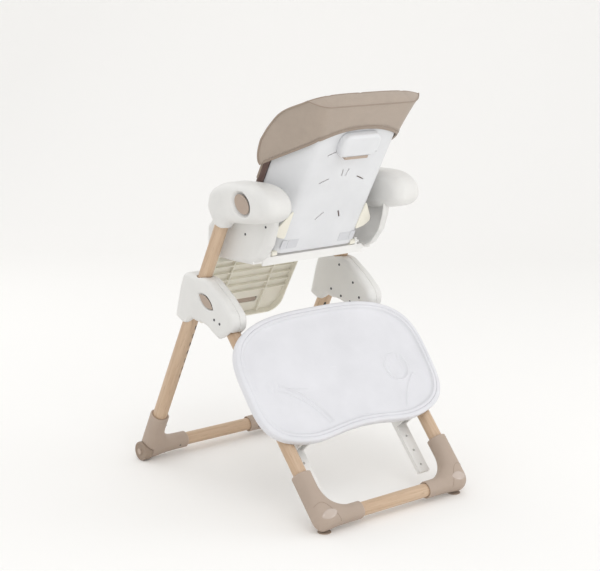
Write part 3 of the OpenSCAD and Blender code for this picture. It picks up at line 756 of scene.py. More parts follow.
# %% Side panels
panel_corners = [(-60, 745), (-112, 690), (-114, 646), (-104, 638), (-20, 636), (44, 638), (78, 655),
                 (104, 686), (118, 725), (124, 772), (-30, 772)]
PANEL_WALL = 4.5


def panel_field(p):
    """Shell of a rounded plate, open towards the sitter, with the groove that the tube slides past."""
    flat = polygon_distance(p[..., 1], p[..., 2], panel_corners) - 20.0
    body = slab(flat, p[..., 0] - 146.0, 60.0, 17.0)
    d = np.maximum(body, -(body + PANEL_WALL))
    d = smooth_max(d, 177.0 - p[..., 0], 1.0)
    groove = np.maximum(rod(p, FRONT, 11.0, x=-20.0), 632.0 - p[..., 2])
    return smooth_max(d, -groove, 1.2)


side_panel = cast("side_panel_shell_left", panel_field, (173.0, -140.0, 611.0), (210.0, 152.0, 800.0), 2.2)
dress_pair(side_panel, "seat", "white", "white_plastic", "side_panel_left")

# %% [markdown]
# ## Corner boots
# A boot is an elbow: a sleeve on the leg, a wide web with a hollow inner curve and a sleeve on the
# cross tube. It is a profile carried along that path. At each station an inner and an outer point
# give the profile's width, and a flattened circle (a superellipse) joins them.

# %% Elbow boots
def boot_mesh(name, place, top, end_x, outer, fillet, thick, sole):
    """Stations run down the leg's sleeve, round the fillet and out along the cross sleeve.

    Local u points to the chair's middle and v up the leg. The inner edge is the leg sleeve's line,
    an arc of the given radius and the cross sleeve's line; the outer edge is a line, a corner arc
    and a line. Section: centre + half-width * |cos|^0.8 + half-thickness * |sin|^0.8.
    """
    sleeve, low = 25.0, 22.0
    corner = 26.0
    reach = LEG_X - end_x
    t = np.linspace(0, 1, 61)
    a = np.radians(np.linspace(0, 90, 25))
    inner = np.concatenate([
        np.stack([np.full(18, sleeve), np.linspace(top, low + fillet, 18)], -1),
        np.stack([sleeve + fillet * (1 - np.cos(a)), low + fillet * (1 - np.sin(a))], -1)[1:-1],
        np.stack([np.linspace(sleeve + fillet, reach, 12), np.full(12, low)], -1)])
    b = np.linspace(0, 90, 15)
    outer_line = np.concatenate([
        np.stack([np.full(20, -outer), np.linspace(top, corner - low, 20)], -1),
        np.stack([-outer + corner * (1 - np.cos(np.radians(b))), corner - low - corner * np.sin(np.radians(b))],
                 -1)[1:],
        np.stack([np.linspace(corner - outer, reach, 20), np.full(20, -low)], -1)[1:]])

    def spread(line, at):
        run = np.concatenate([[0], np.cumsum(np.linalg.norm(np.diff(line, axis=0), axis=1))])
        return np.stack([np.interp(at * run[-1], run, line[:, k]) for k in range(2)], -1)

    p_in, p_out = spread(inner, t), spread(outer_line, t)
    centre, half = (p_in + p_out) / 2, (p_in - p_out) / 2
    swell = np.exp(-((t - 0.52) / 0.2) ** 2)
    depth = sleeve + (low - sleeve) * t + (thick - 23.0) * swell
    theta = np.linspace(0, 2 * np.pi, 56, endpoint=False)
    cos, sin = np.cos(theta), np.sin(theta)
    power = 0.86
    across = np.sign(cos) * np.abs(cos) ** power
    through = np.sign(sin) * np.abs(sin) ** power
    u = centre[:, None, 0] + half[:, None, 0] * across
    v = centre[:, None, 1] + half[:, None, 1] * across
    w = depth[:, None] * through + 0 * u
    body = np.stack([-u, w, v], -1)
    # The mouths turn inwards to meet the tubes
    def mouth(ring, scale, push):
        middle = ring.mean(0)
        return (middle + (ring - middle) * scale + push)[None]
    first, last = body[0], body[-1]
    rings = [mouth(first, 0.76, (0, 0, -3)), mouth(first, 0.78, (0, 0, 0.6)), mouth(first, 0.93, (0, 0, 1.6)),
             body, mouth(last, 0.93, (-1.6, 0, 0)), mouth(last, 0.83, (-0.6, 0, 0)), mouth(last, 0.81, (3, 0, 0))]
    points = out_of(place, np.concatenate(rings))
    # The sole: the lowest points settle on the floor plane
    drop = np.clip((sole + 30 - points[..., 2]) / 30, 0, 1) * np.exp(-((points[..., 0] - 236) / 34) ** 2)
    points[..., 2] = np.maximum(points[..., 2] - 7 * drop, sole)
    return edit(grid_object(name, points, wrap_columns=True))


def close_ends(obj):
    """Fills the two mouths with a face each, deep inside the sleeve where a tube hides it."""
    bm = bmesh.new()
    bm.from_mesh(obj.data)
    bmesh.ops.holes_fill(bm, edges=[e for e in bm.edges if e.is_boundary], sides=0)
    bmesh.ops.recalc_face_normals(bm, faces=bm.faces)
    bm.to_mesh(obj.data)
    bm.free()
    return obj


rear_boot = close_ends(boot_mesh("rear_corner_boot_left", REAR, 126.0, 115.0, 24.0, 68.0, 26.0, 2.0))
front_boot = close_ends(boot_mesh("front_corner_boot_left", FRONT, 122.0, 115.0, 26.0, 60.0, 25.0, 6.0))


def cut_cylinder(obj, centre, radius, half):
    """Takes an X-parallel cylinder out of the mesh with an exact boolean."""
    theta = np.linspace(0, 2 * np.pi, 64, endpoint=False)
    ring = np.stack([0 * theta, np.cos(theta), np.sin(theta)], -1) * radius
    x = np.array([-half, half])
    points = np.concatenate([ring + [dx, 0, 0] for dx in x]) + np.array(centre)
    faces = grid_faces(2, 64, wrap_columns=True)
    cutter = close_ends(edit(mesh_object("cutter", points, faces, smooth=False)))
    modifier(obj, "BOOLEAN", object=cutter, operation="DIFFERENCE", solver="EXACT")
    apply_modifiers(obj)
    bpy.data.objects.remove(cutter)
    return obj


WHEEL_Z = 27.0
cut_cylinder(front_boot, (270.0, -FOOT_Y, WHEEL_Z), 28.6, 30.4)
for boot, name in ((rear_boot, "rear"), (front_boot, "front")):
    mirrored = flip(boot, boot.name.replace("left", "right"))
    dress(boot, f"{name}_frame", "taupe", "taupe_plastic", f"{name}_boot_left")
    dress(mirrored, f"{name}_frame", "taupe", "taupe_plastic", f"{name}_boot_right")
print("boots:", len(rear_boot.data.polygons), "and", len(front_boot.data.polygons), "faces")

# %% [markdown]
# ## Wheels
# A wheel is a lathe shape: a profile of radius against width, turned round the axle. Its outer
# face is a shallow dish with a raised cap, and its tread edges are rounded.

# %% Wheels
def lathe(name, profile, centre, spokes=72):
    """Turns a closed profile of (x, radius) pairs round the X axis through centre."""
    profile = np.asarray(profile, float)
    angle = np.linspace(0, 2 * np.pi, spokes, endpoint=False)
    points = np.stack([profile[:, 0, None] + 0 * angle, profile[:, 1, None] * np.cos(angle),
                       profile[:, 1, None] * np.sin(angle)], -1) + np.array(centre)
    return edit(grid_object(name, points, wrap_rows=True, wrap_columns=True))


wheel_profile = rounded_profile([(-13, 4.2), (-13, 12), (-10, 13), (-10, 21), (-13, 22), (-12.6, 27), (12.6, 27),
                                 (13, 22), (11, 21), (11, 11), (12.6, 10), (12.6, 4.2)], 3.0)
wheel = lathe("roller_left", wheel_profile, (254.0, -FOOT_Y, WHEEL_Z))
dress(wheel, "wheel_l", "tyre", "taupe_rubber", "wheel_left")
dress(flip(wheel, "roller_right"), "wheel_r", "tyre", "taupe_rubber", "wheel_right")
print("wheel:", len(wheel.data.polygons), "faces")

# %% [markdown]
# ## Tray
# The parked tray is one outline carried inwards through a rim profile and on across the floor, so
# it is a grid of angle and inset. Raised lines and the cup ring are added to the floor's height
# as smooth bumps, which keeps them in the geometry.

# %% Tray
TRAY_HALF, TRAY_DROP = 313.0, 165.0


def tray_outline(angle, inset):
    """Superellipse, fuller below, with a shallow hollow for the sitter in its lower edge."""
    n = np.where(np.sin(angle) > 0, 3.0, 4.0)
    x = (TRAY_HALF - inset) * np.sign(np.cos(angle)) * np.abs(np.cos(angle)) ** (2 / n)
    z = (182.0 - inset) * np.sign(np.sin(angle)) * np.abs(np.sin(angle)) ** (2 / n)
    hollow = np.where((np.sin(angle) < 0) & (np.abs(x) < 180), 17 * (1 - (x / 180) ** 2) ** 2, 0)
    return x, z - TRAY_DROP + hollow


def ridge(distance, width, height):
    """A rounded raised line: height * exp(-(d/width)^2)."""
    return height * np.exp(-(distance / width) ** 2)


def floor_relief(x, z):
    """Cup ring with a shallow well, two sweeping lines and a leaf line, in millimetres."""
    cup = np.hypot(x + 186, z + 196)
    relief = ridge(cup - 38, 2.2, 2.6) - 2.8 / (1 + np.exp((cup - 33) / 2.0)) + ridge(cup - 22, 2.0, 0.7)
    beam = np.abs(z + 207 - 0.0009 * (x - 60) ** 2)
    relief += ridge(beam, 2.2, 2.2) / (1 + np.exp((x - 262) / 8)) / (1 + np.exp((130 - x) / 8))
    sweep = np.abs(np.hypot(x - 285, z + 375) - 208)
    relief += ridge(sweep, 2.4, 3.0) * (z > -390) * (x > 60)
    inner = np.abs(np.hypot(x - 286, z + 377) - 197)
    relief += ridge(inner, 2.2, 2.2) * (x > 60) * (z > -390)
    left = np.abs(np.hypot(x + 330, z + 372) - 178)
    relief += ridge(left, 2.2, 2.2) * (x < -100) * (z < -222)
    return relief


def tray_surface(name, profile, floor_height, relief, spokes=360, rings=110):
    """profile is a list of (inset, y) from the underside round the rim to the floor."""
    angle = np.linspace(0, 2 * np.pi, spokes, endpoint=False)
    profile = np.asarray(profile, float)
    rows = []
    for inset, y in profile:
        x, z = tray_outline(angle, inset)
        rows.append(np.stack([x, np.full_like(x, y), z], -1))
    edge = rows[-1]
    middle = np.array([0.0, floor_height, -TRAY_DROP + 4])
    share = np.linspace(0, 1, rings)[1:, None, None]
    fill = edge * (1 - share) + middle * share
    if relief:
        fill[..., 1] += floor_relief(fill[..., 0], fill[..., 2]) * np.clip(share[..., 0] * 40, 0, 1)
    return grid_object(name, np.concatenate([np.stack(rows), fill]), wrap_columns=True, place=TRAY)


def arc_points(centre, radius, start, stop, steps=8):
    a = np.radians(np.linspace(start, stop, steps))
    return [(centre[0] + radius * math.cos(k), centre[1] + radius * math.sin(k)) for k in a]


rim_profile = ([(9.0, -15.0), (5.0, -15.5), (4.6, -19.0), (4.2, -21.4), (2.6, -22.0), (0.8, -21.2), (0.0, -18.0)]
               + [(0.0, -9.0)] + arc_points((6.2, -6.2), 6.2, 180, 90) + arc_points((10.6, -1.6), 1.6, 80, 0, 5)
               + [(12.2, -7.0), (12.2, -11.0)])
base_top = tray_surface("tray_body", rim_profile, -11.0, False, rings=14)
lower = tray_surface("tray_underside", [(9.0, -15.0), (14.0, -15.0)], -15.0, False, rings=14)
lower.data.flip_normals()
for part in (base_top, lower):
    print(" ", part.name, len(part.data.polygons))


def join(name, *parts):
    """Joins meshes into the first one and merges shared edges."""
    bm = bmesh.new()
    for part in parts:
        bm.from_mesh(part.data)
    bmesh.ops.remove_doubles(bm, verts=bm.verts, dist=2e-5)
    bmesh.ops.recalc_face_normals(bm, faces=bm.faces)
    mesh = bpy.data.meshes.new(name)
    bm.to_mesh(mesh)
    bm.free()
    for part in parts[1:]:
        bpy.data.objects.remove(part)
    parts[0].data = mesh
    parts[0].name = name
    mesh.polygons.foreach_set("use_smooth", np.full(len(mesh.polygons), True))
    return parts[0]


tray_body = join("tray_body", base_top, lower)
dress(tray_body, "tray", "tray", "tray_plastic", "tray_base")
insert_profile = ([(12.45, -10.6), (12.45, -1.9)] + arc_points((13.45, -1.9), 1.0, 180, 90, 5)
                  + arc_points((18.5, -2.3), 1.4, 90, 20, 4) + [(22.0, -6.2), (26.0, -7.2), (32.0, -7.6)])
insert_top = tray_surface("tray_top", insert_profile, -7.6, True, spokes=440, rings=165)
insert_under = tray_surface("tray_top_under", [(12.45, -10.6), (16.0, -10.6)], -10.6, False, spokes=440, rings=10)
tray_top = join("tray_top", insert_top, insert_under)
dress(tray_top, "tray_top", "tray", "tray_plastic", "tray_insert")

# %% [markdown]
# ## Backrest
# The back shell is one bent sheet: flat behind the sitter, with wings that turn forward. Its
# section is a straight line that bends by a smooth ramp, the integral of a bell curve, so the turn
# has no crease. The hood uses the same section a little further out and flares it at the top.

# %% Back section
erf_all = np.vectorize(math.erf)


def ramp(t, soft):
    """Smooth max(0, t): soft * phi(t/soft) + t * Phi(t/soft), with phi and Phi of the normal curve."""
    u = t / soft
    return soft * np.exp(-u * u / 2) / math.sqrt(2 * math.pi) + t * 0.5 * (1 + erf_all(u / math.sqrt(2)))


def bent_sheet(c, turn_at, slope, soft):
    """Half-width x and forward depth w at the arc place c >= 0 of a sheet that bends at turn_at."""
    sx, sw = slope / math.hypot(slope, 1), 1 / math.hypot(slope, 1)
    r = ramp(c - turn_at, soft) - ramp(-turn_at * np.ones(1), soft)
    return c + (sx - 1) * r, sw * r


def shell_front(d):
    """How far forward the wings reach at the height d: 96 mm, less below, and an arc above."""
    arc = -59.4 + np.sqrt(np.maximum(155.4 ** 2 - np.maximum(d - 320, 0) ** 2, 0))
    return np.minimum(np.where(d < 110, 26 + 70 * (d - 2) / 108, 96.0), arc)


def back_grid(rows, columns, low, high, front, turn_at, slope, soft):
    """Grid over height d and signed arc place c of the bent sheet."""
    d = np.linspace(low, high, rows)
    reach = turn_at + front(d) * math.hypot(slope, 1)
    c = np.linspace(-1, 1, columns)[None] * reach[:, None]
    x, w = bent_sheet(np.abs(c), turn_at, slope, soft)
    return np.stack([np.sign(c) * x, -w, np.repeat(d[:, None], columns, 1)], -1)


def solidify(obj, thickness):
    """Gives a sheet its thickness, inwards from its face, and keeps the result as the mesh."""
    modifier(obj, "SOLIDIFY", thickness=thickness * MM, offset=-1.0)
    return apply_modifiers(obj)


def box_points(centre, size, turn=0.0):
    """Eight corners of a box in the backrest's frame, turned about the axis across the panel."""
    k = np.array([[i, j, l] for i in (-1, 1) for j in (-1, 1) for l in (-1, 1)]) * np.array(size) / 2
    c, s = math.cos(math.radians(turn)), math.sin(math.radians(turn))
    return np.stack([k[:, 0] * c + k[:, 2] * s, k[:, 1], -k[:, 0] * s + k[:, 2] * c], -1) + np.array(centre)


BOX_FACES = np.array([[0, 1, 3, 2], [4, 6, 7, 5], [0, 4, 5, 1], [2, 3, 7, 6], [0, 2, 6, 4], [1, 5, 7, 3]])
shell = grid_object("back_shell_sheet", back_grid(150, 160, 2.0, 434.0, shell_front, 128.0, 0.4, 13.0), place=BACK)
BACK_INSIDE = out_of(BACK, [0.0, -90.0, 300.0])
solidify(outward(edit(shell), BACK_INSIDE), 3.8)
slots = [((61, -2, 223), (30, 14, 3.2), 24), ((-61, -2, 223), (30, 14, 3.2), -24), ((67, -2, 308), (30, 14, 3.2), 24),
         ((-67, -2, 308), (30, 14, 3.2), -24), ((8, -2, 245), (3, 14, 22), 8), ((-8, -2, 245), (3, 14, 22), -8),
         ((30, -2, 111), (29, 14, 3.4), 46), ((-36, -2, 111), (25, 14, 4.4), -60)]
boxes = np.concatenate([box_points(*spec) for spec in slots])
cutter = mesh_object("slot_cutter", out_of(BACK, boxes),
                     np.concatenate([BOX_FACES + 8 * k for k in range(len(slots))]), smooth=False)
edit(cutter)
modifier(shell, "BOOLEAN", object=cutter, operation="DIFFERENCE", solver="EXACT")
apply_modifiers(shell)
bpy.data.objects.remove(cutter)

ear_corners = rounded_profile([(120, 48), (148, 57), (161, 70), (162, 82), (146, 104), (134, 122), (122, 138)],
                              9.0, 4)


def ear_field(p):
    """A 4 mm plate with a rounded outline in the panel's own plane."""
    q = into(BACK, p)
    return slab(polygon_distance(q[..., 0], q[..., 2], ear_corners), q[..., 1] + 1.9, 2.0, 1.4)


ear_box = out_of(BACK, [[x, y, z] for x in (118, 172) for y in (-8, 4) for z in (44, 142)])
ear = cast("latch_ear_left", ear_field, ear_box.min(0), ear_box.max(0), 1.6)
hinge_boss = lathe("hinge_boss_left", rounded_profile([(125, 4.6), (125, 7.2), (142, 7.2), (142, 4.6)], 0.8, 3),
                   (0.0, *out_of(BACK, [0, -8, 0])[1:]))
for piece in (ear, hinge_boss):
    dress_pair(piece, "backrest", "cream", "white_plastic", "back_shell")
dress(shell, "backrest", "panel", "white_plastic", "back_shell")
print("back shell:", len(shell.data.polygons), "faces")

# %% [markdown]
# The housing of the recline handle is a soft brick, hollowed from below where the fingers squeeze
# the taupe lever. Again a rounded plate is the simplest description.

# %% Recline handle
housing_corners = rounded_profile([(-63, 330), (-61, 360), (-46, 371), (46, 371), (61, 360), (63, 330), (58, 310),
                                   (44, 305), (-44, 305), (-58, 310)], 9.0, 4)


def housing_field(p):
    """Rounded plate 22 mm proud of the panel, less the finger slot at its lower edge."""
    q = into(BACK, p)
    flat = polygon_distance(q[..., 0], q[..., 2], housing_corners)
    d = slab(flat, q[..., 1] - 6.0, 16.0, 9.0)
    d = smooth_max(d, 0.25 - q[..., 1], 0.8)
    slot = slab(np.maximum(np.abs(q[..., 0]) - 40.0, np.abs(q[..., 2] - 306.0) - 16.0), q[..., 1] - 11.0, 8.4, 1.0)
    return smooth_max(d, -slot, 1.5)


housing_box = out_of(BACK, [[x, y, z] for x in (-66, 66) for y in (-2, 25) for z in (300, 375)])
housing = cast("recline_housing", housing_field, housing_box.min(0), housing_box.max(0), 1.7)
dress(housing, "backrest", "panel", "white_plastic", "handle_housing")

# %% [markdown]
# ## Hood
# The hood is leatherette over a thin foam sheet. It is cut as one wrap for the back and the wings
# and one cap for the top, so it is made as those two grids with shared seam points. The wrap widens
# towards the top corners. A bound hem with stitches runs along the lower edge.

# %% Hood wrap and cap
HOOD_TURN, HOOD_SLOPE, HOOD_SOFT, HOOD_BACK = 133.0, 0.56, 12.0, 4.0
FLARE, CAP_D = 193.0, 450.0


def hood_place(c, d):
    """Point of the hood at the arc place c and height d: the bent sheet, widened by the flare
    g(d) (0.28 + 0.72 w/49) towards the half-width FLARE."""
    a = np.abs(c)
    x, w = bent_sheet(a, HOOD_TURN, HOOD_SLOPE, HOOD_SOFT)
    base = HOOD_TURN + HOOD_SLOPE * np.minimum(w, 49)
    g = np.clip((d - 330) / 120, 0, 1) ** 1.6 * (0.28 + 0.72 * np.minimum(w, 49) / 49)
    wide = 1 + g * (FLARE - base) / base
    swell = 2.0 * np.sin(np.clip((d - 340) / 110, 0, 1) * np.pi) * np.cos(np.clip(a / 150, 0, 1) * np.pi / 2)
    return np.stack([np.sign(c) * x * wide, HOOD_BACK + swell - w, d + 0 * x], -1)


def arc_of(w):
    """The arc place of the wing where the sheet is w forward."""
    return HOOD_TURN + w * math.hypot(HOOD_SLOPE, 1)


def hem_height(c):
    """The hem: arched over the handle, then falling along the wing and rising to the front corner."""
    a = np.abs(c)
    back = 380 - 29 * (np.minimum(a, 129) / 129) ** 2.2
    w = np.maximum(a - HOOD_TURN, 0) / math.hypot(HOOD_SLOPE, 1)
    wing = 351 - 1.27 * np.minimum(w, 104)
    tip = 219 + 64 * (1 - np.sqrt(np.clip(1 - ((w - 104) / 19) ** 2, 0, 1)))
    return np.where(a < 129, back, np.where(w > 104, tip, wing))


def rim_height(c):
    """The upper edge: level over the back, then the sweep that the wings end in."""
    w = np.maximum(np.abs(c) - HOOD_TURN, 0) / math.hypot(HOOD_SLOPE, 1)
    rim = np.interp(w, [30, 34, 45, 59, 73, 83, 92, 101, 108, 114, 118, 121, 123],
                    [453, 450, 438, 423, 408, 396, 384, 369, 353, 335, 318, 298, 284])
    return np.minimum(rim, CAP_D)


CAP_W = 36.0
wing_c = arc_of(123.0 * np.sin(np.linspace(0, np.pi / 2, 44)))
cap_count = int((wing_c < arc_of(CAP_W)).sum())
back_c = np.linspace(-HOOD_TURN, HOOD_TURN, 61)
c_all = np.concatenate([-wing_c[::-1][:-1], back_c, wing_c[1:]])
v = np.linspace(0, 1, 46)[:, None]
height = hem_height(c_all)[None] * (1 - v) + rim_height(c_all)[None] * v
wrap = hood_place(c_all[None] + 0 * v, height)
first = len(wing_c) - 1
back_row = wrap[-1, first:first + 61]
cap_rows = [back_row]
for k in range(1, cap_count):
    right = wrap[-1, first + 60 + k]
    fade = math.exp(-3.0 * k / cap_count)
    row = back_row * [right[0] / back_row[-1, 0], 1, 1]
    row[:, 1] = right[1] + (back_row[:, 1] - back_row[-1, 1]) * fade
    crown = 15.0 * (1 - (row[:, 0] / right[0]) ** 4) * math.sin(math.pi / 2 * k / (cap_count - 1)) ** 0.8
    pleats = sum(2.2 * np.exp(-((row[:, 0] - x0) / 4.0) ** 2) for x0 in (-120.0, 20.0, 120.0))
    row[:, 2] = right[2] + crown - pleats * (k / cap_count) ** 2
    row[0], row[-1] = right * [-1, 1, 1], right
    cap_rows.append(row)
cap_rows = np.stack(cap_rows)
wrap_obj = grid_object("hood_cover", wrap, place=BACK)
cap_obj = grid_object("hood_cap_part", cap_rows, place=BACK)
hood = join("hood_cover", wrap_obj, cap_obj)
solidify(outward(hood, BACK_INSIDE), 3.2)
modifier(hood, "SUBSURF", levels=1, render_levels=1)
apply_modifiers(hood)
dress(hood, "backrest", "hood", "leatherette", "hood")
print("hood:", len(hood.data.polygons), "faces")

# %% [markdown]
# The hem band, the piping and the stitches follow paths on the hood. A tube along a path carries a
# ring in the plane that is square to the path, turned by a fixed up direction.

# %% Tubes along paths
def tube(name, path, radius, sides=10, closed=False, flatten=1.0, up=None):
    """A tube of the given radius along path (n, 3) in millimetres; flatten squashes it along up."""
    path = np.asarray(path, float)
    tangent = np.gradient(path, axis=0) if not closed else np.roll(path, -1, 0) - np.roll(path, 1, 0)
    tangent /= np.maximum(np.linalg.norm(tangent, axis=1, keepdims=True), 1e-9)
    up = np.broadcast_to(np.array([0.0, 0.0, 1.0]) if up is None else up, path.shape)
    side = np.cross(tangent, up)
    side /= np.maximum(np.linalg.norm(side, axis=1, keepdims=True), 1e-9)
    lift = np.cross(side, tangent)
    a = np.linspace(0, 2 * np.pi, sides, endpoint=False)
    points = path[:, None] + radius * (np.cos(a)[None, :, None] * side[:, None]
                                       + flatten * np.sin(a)[None, :, None] * lift[:, None])
    if not closed:
        points = np.concatenate([path[:1, None] + 0 * points[:1], points, path[-1:, None] + 0 * points[-1:]])
    return edit(mesh_object(name, points.reshape(-1, 3), grid_faces(*points.shape[:2], closed, True)))


def stitches(name, path, normal, pitch=5.2, length=3.4, radius=0.55):
    """A row of thread stitches: a stretched eight-sided spindle at every pitch along the path."""
    run = np.concatenate([[0], np.cumsum(np.linalg.norm(np.diff(path, axis=0), axis=1))])
    at = np.arange(pitch, run[-1] - pitch, pitch)
    place = lambda q: np.stack([np.interp(q, run, path[:, k]) for k in range(3)], -1)
    centre, ahead = place(at), place(at + 0.5) - place(at - 0.5)
    ahead /= np.linalg.norm(ahead, axis=1, keepdims=True)
    up = np.stack([np.interp(at, run, normal[:, k]) for k in range(3)], -1)
    up /= np.linalg.norm(up, axis=1, keepdims=True)
    side = np.cross(ahead, up)
    along = np.array([-0.5, -0.34, 0.34, 0.5])
    thick = np.array([0.25, 1.0, 1.0, 0.25])
    a = np.linspace(0, 2 * np.pi, 6, endpoint=False)
    points = (centre[:, None, None] + length * along[None, :, None, None] * ahead[:, None, None]
              + radius * thick[None, :, None, None] * (np.cos(a)[None, None, :, None] * side[:, None, None]
                                                       + np.sin(a)[None, None, :, None] * up[:, None, None]))
    one = np.concatenate([grid_faces(4, 6, wrap_columns=True)])
    caps = np.array([[0, 1, 2, 3], [3, 4, 5, 0], [18, 21, 20, 19], [21, 18, 23, 22]])
    faces = np.concatenate([np.concatenate([one, caps]) + 24 * k for k in range(len(at))])
    return edit(mesh_object(name, points.reshape(-1, 3), faces))


def hood_normal(c, d):
    """Outward normal of the hood from two small steps of its formula."""
    du = hood_place(c + 0.5, d) - hood_place(c - 0.5, d)
    dv = hood_place(c, d + 0.5) - hood_place(c, d - 0.5)
    n = np.cross(dv, du)
    n *= np.sign((n * (hood_place(c, d) - np.array([0.0, -60.0, 0.0])) * [1, 1, 0]).sum(-1, keepdims=True))
    return n / np.linalg.norm(n, axis=-1, keepdims=True)


hem_c = np.linspace(-arc_of(102.0), arc_of(102.0), 201)
hem_d = hem_height(hem_c)
band_v = np.linspace(0.0, 11.0, 7)[:, None]
band_height = hem_d[None] + band_v
band_points = hood_place(hem_c[None] + 0 * band_v, band_height)
band_normal = hood_normal(hem_c[None] + 0 * band_v, band_height)
puff = 0.9 * np.sin(np.pi * (band_v + 1) / 13)[..., None] ** 0.5
hem_band = grid_object("hood_hem_band", band_points + band_normal * puff, place=BACK)
solidify(outward(edit(hem_band), BACK_INSIDE), 2.2)
dress(hem_band, "backrest", "hem", "leatherette", "hood")
wing_edge = wing_c[wing_c >= arc_of(CAP_W - 3)]
tip_c = arc_of(np.linspace(105.0, 122.9, 16))
right_edge = np.concatenate([hood_place(wing_edge, rim_height(wing_edge)),
                             hood_place(tip_c, hem_height(tip_c))[::-1]])
rim_path = np.concatenate([right_edge[::-1] * [-1, 1, 1], cap_rows[-1][1:-1], right_edge]) + [0, 0, -1.2]
piping = tube("hood_rim_piping", out_of(BACK, rim_path), 2.6, sides=12,
              up=turned(np.array([0.0, 1.0, 0.0]), BACK_LEAN))
dress(piping, "backrest", "hem", "leatherette", "hood")
lines = []
for k, (lift, count) in enumerate(((8.6, 400), (13.4, 400))):
    c_line = np.linspace(-arc_of(98.0), arc_of(98.0), count)
    d_line = hem_height(c_line) + lift
    base = hood_place(c_line, d_line) + hood_normal(c_line, d_line) * (1.15 if k == 0 else 0.15)
    lines.append(stitches(f"hem_stitches_{k}", out_of(BACK, base), turned(hood_normal(c_line, d_line), BACK_LEAN)))
stitch_rows = join("hem_stitches", *lines)
dress(stitch_rows, "backrest", "thread", "webbing", "hood")
seam_c = np.linspace(-arc_of(36.0), arc_of(36.0), 160)
seam_path = out_of(BACK, hood_place(seam_c, np.full(160, CAP_D)) + [0, 0.2, 0.2])
cap_piping = tube("hood_cap_seam", seam_path, 1.4, sides=8)
dress(cap_piping, "backrest", "hem", "leatherette", "hood")
print("hem, piping and stitches:", [len(o.data.polygons) for o in (hem_band, piping, stitch_rows, cap_piping)])

# %% [markdown]
# ## Pads
# The seat, back and legrest pads are foam cushions in dark leatherette. Each is a closed form: a
# rounded outline, a crown that rises from the piped edge, and stitched channels pressed into it.
# A short cloth simulation with inner pressure then gives the covers their uneven tension.

# %% Cushions
def cushion(name, half, length, thick, channels, place, corner=4.0, count=72, relief=None, under=0.0):
    """A closed pad over the superellipse |x/a|^n + |y/b|^n = 1, local z up, y from 0 to length.

    Height = thick * (1 - r^6)^0.42 above and a shallow copy below; channels is a function (x, y)
    that returns how far a stitched line presses the top down, in millimetres.
    """
    a = np.linspace(0, 2 * np.pi, 4 * count, endpoint=False)
    r = np.sin(np.linspace(0, np.pi / 2, count))
    e = 2.0 / corner
    ux, uy = np.sign(np.cos(a)) * np.abs(np.cos(a)) ** e, np.sign(np.sin(a)) * np.abs(np.sin(a)) ** e
    x, y = r[:, None] * half * ux, length / 2 + r[:, None] * length / 2 * uy
    dome = np.maximum(1 - r[:, None] ** 6, 0) ** 0.42 + 0 * x
    top = thick * dome
    top = np.maximum(top - channels(x, y) * dome ** 0.5, 0.15 * top)
    if relief is not None:
        top = top + relief(x, y) * dome
    low = -under * dome
    points = np.concatenate([np.stack([x, y, top], -1), np.stack([x, y, low], -1)[::-1][1:]])
    obj = edit(grid_object(name, points, wrap_columns=True))
    spot = np.zeros(len(obj.data.vertices) * 3)
    obj.data.vertices.foreach_get("co", spot)
    obj.data.vertices.foreach_set("co", (place(spot.reshape(-1, 3) / MM) * MM).ravel())
    return edit(obj)


def puff_up(obj, pressure, most):
    """Cloth simulation of the cover under inner pressure; no point moves more than most millimetres."""
    before = obj.copy()
    before.data = obj.data.copy()
    cloth = modifier(obj, "CLOTH")
    cloth.settings.use_pressure = True
    cloth.settings.uniform_pressure_force = pressure
    cloth.settings.effector_weights.gravity = 0.0
    cloth.settings.tension_stiffness = cloth.settings.compression_stiffness = 30
    for frame_number in range(1, 16):
        bpy.context.scene.frame_set(frame_number)
    apply_modifiers(obj)
    bpy.context.scene.frame_set(1)
    n = len(obj.data.vertices)
    now, old = np.zeros(n * 3), np.zeros(n * 3)
    obj.data.vertices.foreach_get("co", now)
    before.data.vertices.foreach_get("co", old)
    move = (now - old).reshape(-1, 3)
    far = np.linalg.norm(move, axis=1, keepdims=True)
    move *= np.minimum(1, most * MM / np.maximum(far, 1e-9))
    obj.data.vertices.foreach_set("co", (old.reshape(-1, 3) + move).ravel())
    bpy.data.objects.remove(before)
    return obj


def groove(distance, width, depth):
    """A stitched line pressed in: depth * exp(-(|d|/width)^1.5)."""
    return depth * np.exp(-(np.abs(distance) / width) ** 1.5)


def seat_channels(x, y):
    lines = sum(groove(x - k, 5.0, 7.0) for k in (-96, -32, 32, 96)) * (y > 40)
    return lines + groove(y - 40, 5.0, 6.0) + groove(y - 250, 5.0, 4.0)


def seat_spot(p):
    """Lays the pad on the pan: y runs back from the front edge."""
    x, y, z = p[:, 0], p[:, 1], p[:, 2]
    return np.stack([x, y - 194.0, 630.5 + z], -1)


def seat_relief(x, y):
    return 3.0 * (np.abs(x) / 160) ** 2 - 5.0 * np.exp(-((y - 150) / 70) ** 2 - (x / 90) ** 2) + 3.0 * np.exp(
        -((y - 90) / 40) ** 2 - (x / 22) ** 2)


seat_pad = cushion("seat_cushion", 158.0, 196.0, 28.0, seat_channels, seat_spot, 6.0, relief=seat_relief)
puff_up(seat_pad, 1.5, 3.0)
dress(seat_pad, "seat", "pad", "pad_leatherette", "seat_pad")


